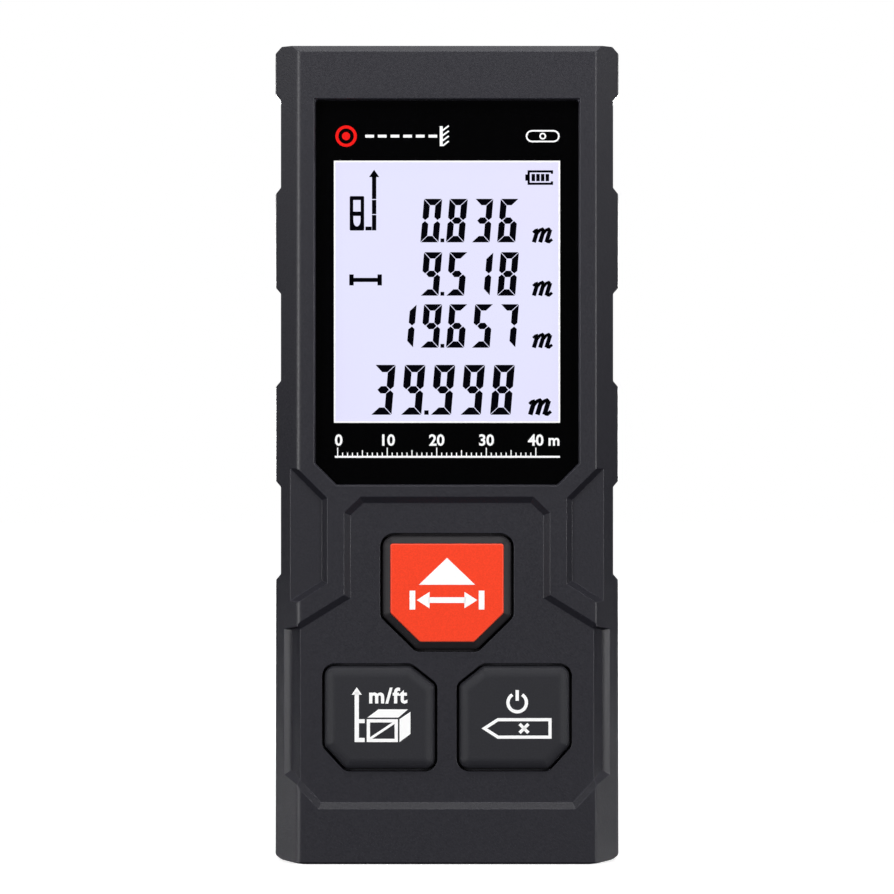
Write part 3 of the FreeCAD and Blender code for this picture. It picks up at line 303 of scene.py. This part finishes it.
def circuit_board():
    """Green solder mask with slightly raised copper tracks under it."""
    s = Shader("circuit_board", (0.01, 0.10, 0.04), 0.35)
    grid = s.mapped(scale=(1, 0.01, 1))
    tracks = s.cells(2.4, "DISTANCE_TO_EDGE", grid)
    copper = s.span(tracks, 0.10, 0.07)
    fibre = s.noise(0.4, detail=3.0)
    mask = s.blend(fibre, (0.006, 0.075, 0.03), (0.012, 0.11, 0.045))
    s.set(Base_Color=s.blend(copper, mask, (0.03, 0.22, 0.09)))
    s.set(Roughness=s.span(fibre, 0.3, 0.7, 0.28, 0.42))
    s.set(Normal=s.bump(copper, 0.03, s.soft_edge(0.05)))
    return s


def cell_sleeve():
    """Printed battery sleeve: plain blue body, and a grey band and a pale ring at the nub end."""
    blue, grey, pale = (0.03, 0.09, 0.22), (0.20, 0.21, 0.23), (0.62, 0.62, 0.60)
    s = Shader("cell_sleeve", blue, 0.3)

    def nub_end(share):
        """1 over this share of a cell, from its nub: the left one's top, the right one's foot."""
        parts = []
        for name, side in (("left", "LESS_THAN"), ("right", "GREATER_THAN")):
            low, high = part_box("battery_sleeve_" + name)
            length = high.z - low.z
            if name == "left":
                near = s.math("GREATER_THAN", s.axis("Z"), high.z - length * share)
            else:
                near = s.math("LESS_THAN", s.axis("Z"), low.z + length * share)
            parts.append(s.math("MULTIPLY", near, s.math(side, s.axis("X"), 0.0)))
        return s.math("ADD", *parts)

    band, ring = nub_end(0.27), nub_end(0.285)
    scuffs = s.noise(0.6, detail=2.0, place=s.mapped(scale=(1, 1, 0.15)))
    printed = s.blend(ring, blue, pale)
    s.set(Base_Color=s.blend(band, printed, grey))
    s.set(Roughness=s.span(scuffs, 0.3, 0.7, 0.26, 0.34))
    s.set(Normal=s.bump(scuffs, 0.0005))
    return s


def foam(name, colour):
    """Open-cell foam."""
    s = Shader(name, colour, 0.95)
    pores = s.cells(0.35)
    # The colour darkens toward each pore's middle: painted shade in the pores.
    s.set(Base_Color=s.blend(s.span(pores, 0.1, 0.7), tint(colour, 0.4), tint(colour, 1.4)))
    s.set(Normal=s.bump(pores, 0.12))
    return s


def label_film():
    """Satin label film with a fine brushed look."""
    s = Shader("label_film", (0.17, 0.175, 0.19), 0.42)
    brushed = s.noise(0.2, detail=3.0, place=s.mapped(scale=(0.04, 1, 1)))
    smudge = s.noise(9.0, detail=3.0)
    s.set(Base_Color=s.blend(s.span(brushed, 0.3, 0.7), (0.15, 0.155, 0.17), (0.19, 0.195, 0.21)))
    s.set(Roughness=s.span(smudge, 0.3, 0.7, 0.36, 0.5))
    s.set(Normal=s.bump(brushed, 0.002, s.soft_edge(0.05)))
    return s


def studio_floor():
    """Pale sweep: it takes a soft shadow near the object and fades to plain white further out."""
    s = Shader("studio_floor", (0.60, 0.60, 0.60), 0.9)
    away = s.tree.nodes.new("ShaderNodeVectorMath")
    away.operation = "LENGTH"
    s.feed(away.inputs[0], s.place)
    out = s.span(away.outputs["Value"], 0.05, 0.60)
    cloud = s.noise(180.0, detail=1.0)
    near = s.blend(cloud, (0.70, 0.70, 0.70), (0.73, 0.73, 0.73))
    s.set(Emission_Color=s.blend(out, near, (1.0, 1.0, 1.0)))
    s.bsdf.inputs["Emission Strength"].default_value = 1.0
    return s


CHARCOAL = (0.0162, 0.0157, 0.0219)
KEY_GREY = (0.0165, 0.0166, 0.0215)
SIGNAL_ORANGE = (0.98, 0.052, 0.014)

dress(moulded_plastic("shell_plastic", CHARCOAL, 0.43, 0.24, 0.018), "front_shell", "rear_shell",
      "battery_door")
dress(moulded_plastic("key_silicone", KEY_GREY, 0.58, 0.18, 0.010, edge=0.2, wear_and_highlight=1.2,
                      Specular_IOR_Level=0.35), "unit_key_cap", "clear_key_cap")
dress(moulded_plastic("key_frame_black", (0.018, 0.0165, 0.019), 0.50, 0.18, 0.006, edge=0.15,
                      Specular_IOR_Level=0.25), "read_key_frame")
# The pale pinkish rim along the orange face's edges is a painted highlight.
dress(moulded_plastic("key_orange", SIGNAL_ORANGE, 0.45, 0.16, 0.005, edge=0.12,
                      rim=(1.0, 0.20, 0.12), Specular_IOR_Level=0.3), "read_key_face")
dress(clear_acrylic(), "display_window")
dress(smooth_plastic("black_print", (0.0010, 0.0010, 0.0012), 0.5, Specular_IOR_Level=0.0),
      "window_mask")
dress(smooth_plastic("tape_black", (0.012, 0.012, 0.012), 0.7), "window_tape")
dress(lit_display(), "lcd_polarizer")
dress(smooth_plastic("display_glass", (0.35, 0.36, 0.42), 0.08, Coat_Weight=0.5), "lcd_glass")
dress(smooth_plastic("light_guide", (0.75, 0.76, 0.80), 0.35), "lcd_backlight")
dress(smooth_plastic("led_package", (0.80, 0.74, 0.45), 0.4), "backlight_led")
dress(smooth_plastic("elastomer", (0.20, 0.20, 0.22), 0.7), "lcd_connector")
dress(circuit_board(), "main_board", "receiver_board")
dress(metal("contact_gold", (0.85, 0.60, 0.22), 0.28), "key_contacts")
dress(moulded_plastic("chip_epoxy", (0.016, 0.016, 0.018), 0.55, 0.12, 0.006), "microcontroller")
dress(moulded_plastic("component_ceramic", (0.26, 0.19, 0.13), 0.5, 0.15, 0.006, wear_and_highlight=1.2),
      "board_components")
dress(smooth_plastic("buzzer_black", (0.012, 0.012, 0.013), 0.35), "buzzer")
dress(moulded_plastic("silicone_grey", (0.26, 0.27, 0.29), 0.6, 0.3, 0.006, wear_and_highlight=1.1),
      "keypad_mat", "read_key_dome", "unit_key_dome", "clear_key_dome")
dress(moulded_plastic("carbon_pill", (0.010, 0.010, 0.011), 0.6, 0.15, 0.006), "read_key_pill",
      "unit_key_pill", "clear_key_pill")
dress(moulded_plastic("optics_black", (0.014, 0.014, 0.015), 0.5, 0.2, 0.012), "optics_bezel",
      "optics_block", "lens_retainer")
dress(coated_lens(), "receiver_lens", "laser_window", "collimator_lens")
dress(foam("gasket_foam", (0.020, 0.020, 0.021)), "optics_gasket", "battery_foam")
dress(metal("barrel_brass", (0.74, 0.53, 0.24), 0.25, turned="Z"), "laser_barrel")
dress(metal("can_steel", (0.62, 0.61, 0.58), 0.28), "photodiode", "laser_diode")
dress(smooth_plastic("flex_film", (0.42, 0.17, 0.03), 0.3), "laser_flex")
dress(metal("cell_can", (0.64, 0.64, 0.65), 0.25, turned="Z"), "battery_can_left",
      "battery_can_right")
dress(cell_sleeve(), "battery_sleeve_left", "battery_sleeve_right")
dress(metal("contact_nickel", (0.62, 0.60, 0.55), 0.3), "contact_bridge", "contact_plate_left",
      "contact_plate_right", "contact_spring_left", "contact_spring_right")
dress(metal("screw_black_oxide", (0.09, 0.09, 0.10), 0.35, turned="Y"), "housing_screws",
      "board_screws", "optics_screws")
dress(label_film(), "back_label")


# ---- flat artwork ----------------------------------------------------------------------
class Artwork:
    """Flat marks with a little thickness, drawn in X and Z (mm) and facing -Y."""

    def __init__(self, front, thick):
        self.front = front
        self.thick = thick
        self.verts = []
        self.faces = []

    def shape(self, corners):
        """A filled outline; its corners may run either way round."""
        count = len(corners)
        base = len(self.verts)
        area = sum(corners[i - 1][0] * corners[i][1] - corners[i][0] * corners[i - 1][1]
                   for i in range(count))
        if area < 0:
            corners = corners[::-1]
        self.verts += [(x, self.front, z) for x, z in corners]
        self.verts += [(x, self.front + self.thick, z) for x, z in corners]
        self.faces.append([base + i for i in range(count)])
        self.faces.append([base + count + i for i in reversed(range(count))])
        for i in range(count):
            j = (i + 1) % count
            self.faces.append([base + i, base + count + i, base + count + j, base + j])

    def box(self, x0, x1, z0, z1):
        self.shape([(x0, z0), (x1, z0), (x1, z1), (x0, z1)])

    def rounded_box(self, x0, x1, z0, z1, radius):
        corners = []
        for cx, cz, start in ((x1 - radius, z0 + radius, -90), (x1 - radius, z1 - radius, 0),
                              (x0 + radius, z1 - radius, 90), (x0 + radius, z0 + radius, 180)):
            corners += arc(cx, cz, radius, start, start + 90, 5)
        self.shape(corners)

    def line(self, points, width, closed=False):
        """A stroke of even width, one piece per stretch, mitred where two stretches meet."""
        count = len(points)
        sides = []
        for i, point in enumerate(points):
            here = Vector(point)
            before = here - Vector(points[i - 1])
            after = Vector(points[(i + 1) % count]) - here
            if not closed and i == 0:
                before = after
            if not closed and i == count - 1:
                after = before
            before.normalize()
            after.normalize()
            normal_a = Vector((-before.y, before.x))
            normal_b = Vector((-after.y, after.x))
            offset = (normal_a + normal_b) * (width / 2 / (1 + normal_a.dot(normal_b)))
            sides.append((here - offset, here + offset))
        for i in range(count if closed else count - 1):
            (a, b), (c, d) = sides[i], sides[(i + 1) % count]
            self.shape([tuple(a), tuple(c), tuple(d), tuple(b)])

    def lettering(self, words, x, z, height, bold, spread=1.0, align="LEFT"):
        """Plain letters and numbers, their baseline at z and their digits this high."""
        font = bpy.data.curves.new("lettering", "FONT")
        font.body = words
        font.align_x = align
        font.offset = bold
        font.space_character = spread
        font.resolution_u = 3
        holder = bpy.data.objects.new("lettering", font)
        bpy.context.scene.collection.objects.link(holder)
        bpy.context.view_layer.update()
        flat = bpy.data.meshes.new_from_object(holder)
        bpy.data.objects.remove(holder)
        digit_height = 0.73
        scale = height / digit_height
        for face in flat.polygons:
            self.shape([(x + flat.vertices[i].co.x * scale, z + flat.vertices[i].co.y * scale)
                        for i in face.vertices])

    def make(self, name, body, shader, slot):
        """Turns the marks into one piece that rides a body."""
        mesh = bpy.data.meshes.new(name)
        mesh.from_pydata([(x * MM, y * MM, z * MM) for x, y, z in self.verts], [], self.faces)
        mesh.validate()
        mesh.materials.append(shader.material)
        piece = bpy.data.objects.new(name, mesh)
        bpy.context.scene.collection.objects.link(piece)
        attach(piece, body)
        return piece


def arc(cx, cz, radius, start, end, steps):
    """Points along an arc, in degrees counter-clockwise from +X."""
    angles = [math.radians(start + (end - start) * i / steps) for i in range(steps + 1)]
    return [(cx + radius * math.cos(a), cz + radius * math.sin(a)) for a in angles]


# ---- display contents ------------------------------------------------------------------
# Which of the seven segments each digit lights: top, upper right, lower right, bottom,
# lower left, upper left, middle.
SEGMENTS = {
    "0": "abcdef", "1": "bc", "3": "abcdg", "5": "acdfg", "6": "acdefg", "7": "abc",
    "8": "abcdefg", "9": "abcdfg",
}
STROKE_SHARE = 0.146      # a segment's width as a share of the digit's height
SEGMENT_GAP = 0.062
SLANT = 0.085


def digit_segments(width, height):
    """Outline of each segment of an upright digit, from its bottom left corner."""
    t, g, mid = height * STROKE_SHARE, SEGMENT_GAP, height / 2
    upper_left = [(0, height - g), (t, height - t - g), (t, mid + t / 2 + g / 2),
                  (t * 0.45, mid + g), (0, mid + t * 0.4 + g)]
    top = [(g, height), (width - g, height), (width - t - g, height - t), (t + g, height - t)]
    middle = [(t * 0.55 + g, mid), (t + g, mid + t / 2), (width - t - g, mid + t / 2),
              (width - t * 0.55 - g, mid), (width - t - g, mid - t / 2), (t + g, mid - t / 2)]

    def over(points):
        return [(x, height - z) for x, z in points]

    def across(points):
        return [(width - x, z) for x, z in points]

    return {"a": top, "b": across(upper_left), "c": across(over(upper_left)), "d": over(top),
            "e": over(upper_left), "f": upper_left, "g": middle}


def reading(art, digits, last_x, baseline, height, width, pitch):
    """A row of digits that ends at last_x, with the point after the whole metres."""
    whole, decimals = digits.split(".")
    shapes = digit_segments(width, height)
    lean = SLANT * height
    for place, digit in enumerate(reversed(whole + decimals)):
        left = last_x - place * pitch
        for segment in SEGMENTS[digit]:
            art.shape([(left + x + lean * z / height, baseline + z) for x, z in shapes[segment]])
    dot = height * 0.088
    right = last_x - (len(decimals) - 1) * pitch - width * 0.09
    art.box(right - dot, right, baseline, baseline + dot)


def metre_sign(art, left, baseline, width, height):
    """Slanted m with small serifs."""
    stem = width * 0.20
    lean = 0.30

    def at(x, z):
        return left + x * width + lean * z * height, baseline + z * height

    for x in (0.10, 0.40, 0.70):
        art.line([at(x, 0.0), at(x, 0.92)], stem)
    for x in (0.10, 0.40):
        art.line([at(x + 0.02, 0.62), at(x + 0.12, 0.88), at(x + 0.22, 0.95), at(x + 0.30, 0.86)],
                 stem * 0.75)
    art.line([at(-0.08, 0.70), at(0.0, 0.86), at(0.12, 0.92)], stem * 0.6)
    art.line([at(0.70, 0.06), at(0.82, 0.03), at(0.93, 0.22)], stem * 0.7)


LCD_FRONT = node_box("lcd_polarizer")[0].y
MASK_FRONT = node_box("window_mask")[0].y
VIEW_HALF = 15.92
VIEW_BOTTOM, VIEW_TOP = 62.0, 98.9

ink_black = printed_ink("segment_black", (0.0012, 0.0012, 0.0030), 0.6, Specular_IOR_Level=0.0)
# The white and red legends glow a little: painted light that makes the print brighter.
ink_white = printed_ink("legend_white", (0.86, 0.86, 0.86), 0.5, glow=0.20)
ink_red = printed_ink("legend_red", (0.80, 0.012, 0.010), 0.5, glow=0.08,
                      Specular_IOR_Level=0.0)

SMALL_DIGIT = (6.13, 2.56, 3.605)      # height, width, pitch
LARGE_DIGIT = (7.03, 2.90, 4.20)


def display_marks():
    """Black segments and signs of the display."""
    art = Artwork(LCD_FRONT - 0.03, 0.02)
    height, width, pitch = SMALL_DIGIT
    for digits, baseline in (("0.836", 87.46), ("9.518", 79.94), ("19.657", 72.60)):
        reading(art, digits, 7.06, baseline, height, width, pitch)
        metre_sign(art, 11.95, baseline, 2.95, 1.97)
    height, width, pitch = LARGE_DIGIT
    reading(art, "39.998", 6.07, 63.15, height, width, pitch)
    metre_sign(art, 11.4, 63.15, 3.35, 2.17)
    battery_sign(art)
    device_sign(art)
    distance_sign(art)
    art.make("display_marks", "housing", ink_black, "display_black")


def battery_sign(art):
    """A full battery of four bars, its case open at the right."""
    left, right, low, high, line = 11.36, 14.96, 95.56, 97.62, 0.32
    art.line([(right - line / 2, high - 0.5), (right - line / 2, high - line / 2),
              (left + line / 2, high - line / 2), (left + line / 2, low + line / 2),
              (right - line / 2, low + line / 2), (right - line / 2, low + 0.5)], line)
    art.box(left - line, left + line / 2, 96.15, 97.03)
    bar_wide, bar_pitch, inset = 0.50, 0.66, 0.52
    for bar in range(4):
        x = left + 0.56 + bar * bar_pitch
        art.box(x, x + bar_wide, low + inset, high - inset)


def device_sign(art):
    """The meter's own outline beside an arrow that starts at its back edge."""
    art.rounded_box(-13.72, -11.68, 89.12, 93.98, 0.18)
    for low, high in ((89.14, 91.32), (91.44, 93.44), (93.56, 96.90)):
        art.box(-10.58, -9.97, low, high)
    art.shape([(-11.00, 96.66), (-9.55, 96.66), (-10.275, 97.70)])
    art.box(-11.50, -10.62, 89.14, 89.68)


def distance_sign(art):
    """A span between two bars."""
    for x in (-13.78, -9.80):
        art.box(x, x + 0.62, 81.38, 82.94)
    art.box(-13.4, -9.5, 81.87, 82.45)


def device_windows():
    """Lit openings inside the meter sign, on the layer in front of its black body."""
    art = Artwork(LCD_FRONT - 0.04, 0.008)
    art.box(-13.22, -12.18, 91.80, 93.42)
    art.shape([(-13.20, 91.18), (-12.20, 91.18)]
              + [(-12.70 + 0.50 * math.cos(math.radians(a)),
                  90.55 + 0.85 * math.sin(math.radians(a))) for a in range(0, -181, -20)])
    piece = art.make("device_sign_windows", "housing", ink_black, "polarizer")
    piece.data.materials[0] = bpy.data.materials["lit_display"]


def window_print():
    """White and red print on the back of the window: a border, a range scale, a beam sign."""
    front = MASK_FRONT - 0.02
    white = Artwork(front, 0.02)
    rim = 0.11
    white.line([(-VIEW_HALF + rim, VIEW_BOTTOM + rim), (VIEW_HALF - rim, VIEW_BOTTOM + rim),
                (VIEW_HALF - rim, VIEW_TOP - rim), (-VIEW_HALF + rim, VIEW_TOP - rim)],
               rim * 2, closed=True)
    left, right, base, rule = -15.79, 15.90, 57.08, 0.28
    white.box(left, right, base, base + rule)
    metres, tick, margin = 40, 0.15, 0.4
    reach = right - 3.4 - (left + margin)
    digits = {"z": base + 1.75, "height": 1.6, "bold": 0.025}
    for metre in range(metres + 1):
        x = left + margin + reach * metre / metres
        tall = 1.15 if metre % 10 == 0 else 0.8 if metre % 5 == 0 else 0.45
        white.box(x - tick / 2, x + tick / 2, base + rule, base + rule + tall)
    white.lettering("0", left, align="LEFT", **digits)
    for metre in range(10, metres + 1, 10):
        x = left + margin + reach * metre / metres
        white.lettering(str(metre), x, align="CENTER", **digits)
    white.lettering("m", right, align="RIGHT", **digits)
    beam_z, wall_x, wall_half, stroke = 102.35, -0.6, 1.4, 0.22
    dash_length, dash_pitch, dash_half = 1.22, 1.78, 0.2
    for dash in range(6):
        x = -11.5 + dash * dash_pitch
        white.box(x, x + dash_length, beam_z - dash_half, beam_z + dash_half)
    white.box(wall_x - 0.42, wall_x, beam_z - wall_half, beam_z + wall_half)
    for hatch in range(4):
        z = beam_z - 1.2 + hatch * 0.72
        white.line([(wall_x, z - 0.15), (wall_x + 0.85, z + 0.5)], stroke)
    level_left, level_right, level_radius = 11.2, 15.75, 0.75
    white.line(arc(level_right - level_radius, beam_z, level_radius, -90, 90, 8)
               + arc(level_left + level_radius, beam_z, level_radius, 90, 270, 8),
               stroke, closed=True)
    middle = (level_left + level_right) / 2
    white.line(arc(middle, beam_z, 0.38, 0, 345, 15), 0.2, closed=True)
    white.make("window_print_white", "housing", ink_white, "legend_white")
    red = Artwork(front, 0.02)
    target_x, ring_radius, dot_radius = -14.2, 1.3, 0.58
    red.line(arc(target_x, beam_z, ring_radius, 0, 350, 27), 0.42, closed=True)
    red.shape(arc(target_x, beam_z, dot_radius, 0, 345, 15))
    red.make("window_print_red", "housing", ink_red, "legend_red")


def label_print():
    """Dark print on the back label: a border, and which way round the two cells lie."""
    low, high = node_box("back_label")
    art = Artwork(high.y - 0.01, 0.025)
    inset, line = 1.1, 0.35
    left, right, bottom, top = low.x + inset, high.x - inset, low.z + inset, high.z - inset
    art.line([(left, bottom), (right, bottom), (right, top), (left, top)], line, closed=True)
    middle = (bottom + top) / 2
    wide, tall, nub_wide, nub_tall = 7.6, 19.0, 3.0, 1.0
    sign_offset, arm, half_line = 6.0, 1.4, 0.3
    for side in (-1, 1):
        x = side * 6.2
        low_z, high_z = middle - tall / 2, middle + tall / 2
        art.line([(x - wide / 2, low_z), (x + wide / 2, low_z), (x + wide / 2, high_z),
                  (x - wide / 2, high_z)], line, closed=True)
        tip = high_z if side < 0 else low_z
        nub_low, nub_high = sorted((tip, tip - side * nub_tall))
        art.box(x - nub_wide / 2, x + nub_wide / 2, nub_low, nub_high)
        plus_z, minus_z = middle - side * sign_offset, middle + side * sign_offset
        for z in (minus_z, plus_z):
            art.box(x - arm, x + arm, z - half_line, z + half_line)
        art.box(x - half_line, x + half_line, plus_z + half_line, plus_z + arm)
        art.box(x - half_line, x + half_line, plus_z - arm, plus_z - half_line)
    art.make("label_print", "housing", ink_black, "display_black")


display_marks()
device_windows()
window_print()
label_print()


# ---- key legends -----------------------------------------------------------------------
LEGEND_THICK = 0.015


def legend(key):
    """Artwork laid on the top of a key."""
    low, _ = node_box(key)
    return Artwork(low.y - LEGEND_THICK, LEGEND_THICK + 0.02)


def read_key_legend():
    """Arrow head over a span between two bars."""
    art = legend("read_key_face")
    art.shape([(-3.94, 39.28), (3.94, 39.28), (0.0, 43.05)])
    low, high, line = 35.80, 38.45, 0.80
    middle = (low + high) / 2
    for side in (-1, 1):
        art.box(side * 4.85 - line / 2, side * 4.85 + line / 2, low, high)
        art.shape([(side * 4.25, middle), (side * 2.45, middle + 1.15),
                   (side * 2.45, middle - 1.15)])
    art.box(-2.6, 2.6, middle - line / 2, middle + line / 2)
    art.make("read_key_legend", "read_key", ink_white, "legend_white")


def unit_key_legend():
    """Upright arrow, a box, and the two units."""
    art = legend("unit_key_cap")
    art.box(-12.96, -12.36, 17.21, 24.20)
    art.shape([(-13.37, 23.85), (-11.95, 23.85), (-12.66, 24.90)])
    art.box(-12.40, -11.54, 19.87, 20.42)
    art.box(-12.40, -11.54, 17.21, 17.80)
    left, right, low, high, line = -11.26, -6.89, 17.21, 20.42, 0.46
    art.line([(left + line / 2, low + line / 2), (right - line / 2, low + line / 2),
              (right - line / 2, high - line / 2), (left + line / 2, high - line / 2)],
             line, closed=True)
    art.line([(left + line, low + line), (right - line, high - line)], line * 0.75)
    art.shape([(-11.16, 20.65), (-9.62, 21.80), (-5.47, 21.80), (-6.83, 20.65)])
    art.shape([(-6.66, 20.42), (-5.13, 21.46), (-5.13, 18.35), (-6.66, 17.21)])
    art.lettering("m/ft", -11.0, 22.72, 2.15, bold=0.032, spread=1.12)
    art.make("unit_key_legend", "unit_key", ink_white, "legend_white")


def clear_key_legend():
    """Power sign over a clear sign."""
    art = legend("clear_key_cap")
    centre, power_z, power_line = 9.85, 22.75, 0.46
    art.line(arc(centre, power_z, 1.30, 122, 418, 22), power_line)
    art.box(centre - power_line / 2, centre + power_line / 2, power_z + 0.25, power_z + 1.75)
    low = 17.9
    high = low + 2.45
    middle = (low + high) / 2
    half, shoulder, line = 4.6, 2.7, 0.44
    art.line([(centre - half, middle), (centre - shoulder, high), (centre + half, high),
              (centre + half, low), (centre - shoulder, low)], line, closed=True)
    cross_x, arm = centre + 0.95, 0.62
    for side in (-1, 1):
        art.line([(cross_x - arm, middle - side * arm), (cross_x + arm, middle + side * arm)], line)
    art.make("clear_key_legend", "clear_key", ink_white, "legend_white")


read_key_legend()
unit_key_legend()
clear_key_legend()


# ---- camera, light and floor -----------------------------------------------------------
def make_camera():
    """Square-on view of the face that is 125.5 mm wide at the face."""
    lens, sensor, view_width, lift = 160.0, 36.0, 0.1255, 0.0011
    distance = view_width * lens / sensor
    camera = bpy.data.cameras.new("camera")
    camera.lens = lens
    camera.sensor_width = sensor
    holder = bpy.data.objects.new("camera", camera)
    bpy.context.scene.collection.objects.link(holder)
    face_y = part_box("front_shell")[0].y
    height = (cad_low.z + cad_high.z) / 2 + lift
    holder.location = (0.0, face_y - distance, height)
    holder.rotation_euler = (math.radians(90), 0, 0)
    bpy.context.scene.camera = holder


def area_light(name, place, target, size, power, spread=180):
    """Soft box; a spread in degrees under 180 narrows its beam."""
    light = bpy.data.lights.new(name, "AREA")
    light.shape = "RECTANGLE"
    light.size, light.size_y = size
    light.energy = power
    light.spread = math.radians(spread)
    holder = bpy.data.objects.new(name, light)
    bpy.context.scene.collection.objects.link(holder)
    holder.location = place
    holder.rotation_mode = "QUATERNION"
    holder.rotation_quaternion = (Vector(target) - Vector(place)).to_track_quat("-Z", "Y")
    holder.visible_camera = False


def make_lights():
    """Soft boxes over the top and on both sides, front and back; places and sizes in metres."""
    middle = (0, 0, (cad_low.z + cad_high.z) / 2)
    top = (0, 0, cad_high.z - 0.015)
    foot = (0, 0, cad_low.z - 0.012)
    area_light("overhead", (0.0, -0.17, 0.265), top, (0.26, 0.12), 0.44)
    area_light("crown", (0.0, -0.005, cad_high.z + 0.057), top, (0.10, 0.03), 0.021)
    for side, power in ((-1, 2.15), (1, 2.05)):
        area_light("front", (side * 0.50, -0.575, 0.10), middle, (0.20, 0.18), power * 1.18)
        area_light("side", (side * 0.50, -0.02, 0.28), top, (0.25, 0.20), power * 0.19)
        area_light("flank", (side * 0.44, 0.64, 0.06), middle, (0.26, 0.10), power * 1.5)
        area_light("rear", (side * 0.30, 0.80, 0.06), middle, (0.35, 0.10), power * 1.2)
        area_light("kicker", (side * 0.50, -0.03, 0.02), foot, (0.30, 0.03), power * 0.0045, 12)
    area_light("back", (0.0, 0.60, 0.62), middle, (0.80, 0.30), 3.5)


def make_world():
    """White for the camera, a dim even light for everything else."""
    world = bpy.data.worlds.new("studio")
    bpy.context.scene.world = world
    world.use_nodes = True
    tree = world.node_tree
    white = tree.nodes["Background"]
    white.inputs["Color"].default_value = (1, 1, 1, 1)
    dim = tree.nodes.new("ShaderNodeBackground")
    dim.inputs["Color"].default_value = (0.95, 0.97, 1.0, 1)
    dim.inputs["Strength"].default_value = 0.06
    dark = tree.nodes.new("ShaderNodeBackground")
    dark.inputs["Strength"].default_value = 0.02
    path = tree.nodes.new("ShaderNodeLightPath")
    glossy = tree.nodes.new("ShaderNodeMixShader")
    tree.links.new(path.outputs["Is Glossy Ray"], glossy.inputs[0])
    tree.links.new(dim.outputs[0], glossy.inputs[1])
    tree.links.new(dark.outputs[0], glossy.inputs[2])
    mix = tree.nodes.new("ShaderNodeMixShader")
    tree.links.new(path.outputs["Is Camera Ray"], mix.inputs[0])
    tree.links.new(glossy.outputs[0], mix.inputs[1])
    tree.links.new(white.outputs[0], mix.inputs[2])
    tree.links.new(mix.outputs[0], tree.nodes["World Output"].inputs["Surface"])


def make_floor():
    """Disc just under the object, so that their faces don't coincide."""
    radius, sides, gap = 2.5, 64, 0.02
    mesh = bpy.data.meshes.new("floor")
    rim = [(radius * math.cos(2 * math.pi * i / sides), radius * math.sin(2 * math.pi * i / sides),
            cad_low.z - gap * MM) for i in range(sides)]
    mesh.from_pydata(rim, [], [list(range(sides))])
    mesh.materials.append(studio_floor().material)
    floor = bpy.data.objects.new("floor", mesh)
    bpy.context.scene.collection.objects.link(floor)
    floor.visible_diffuse = False
    floor.visible_glossy = False


bpy.context.scene.view_settings.view_transform = "Standard"
make_camera()
make_lights()
make_world()
make_floor()
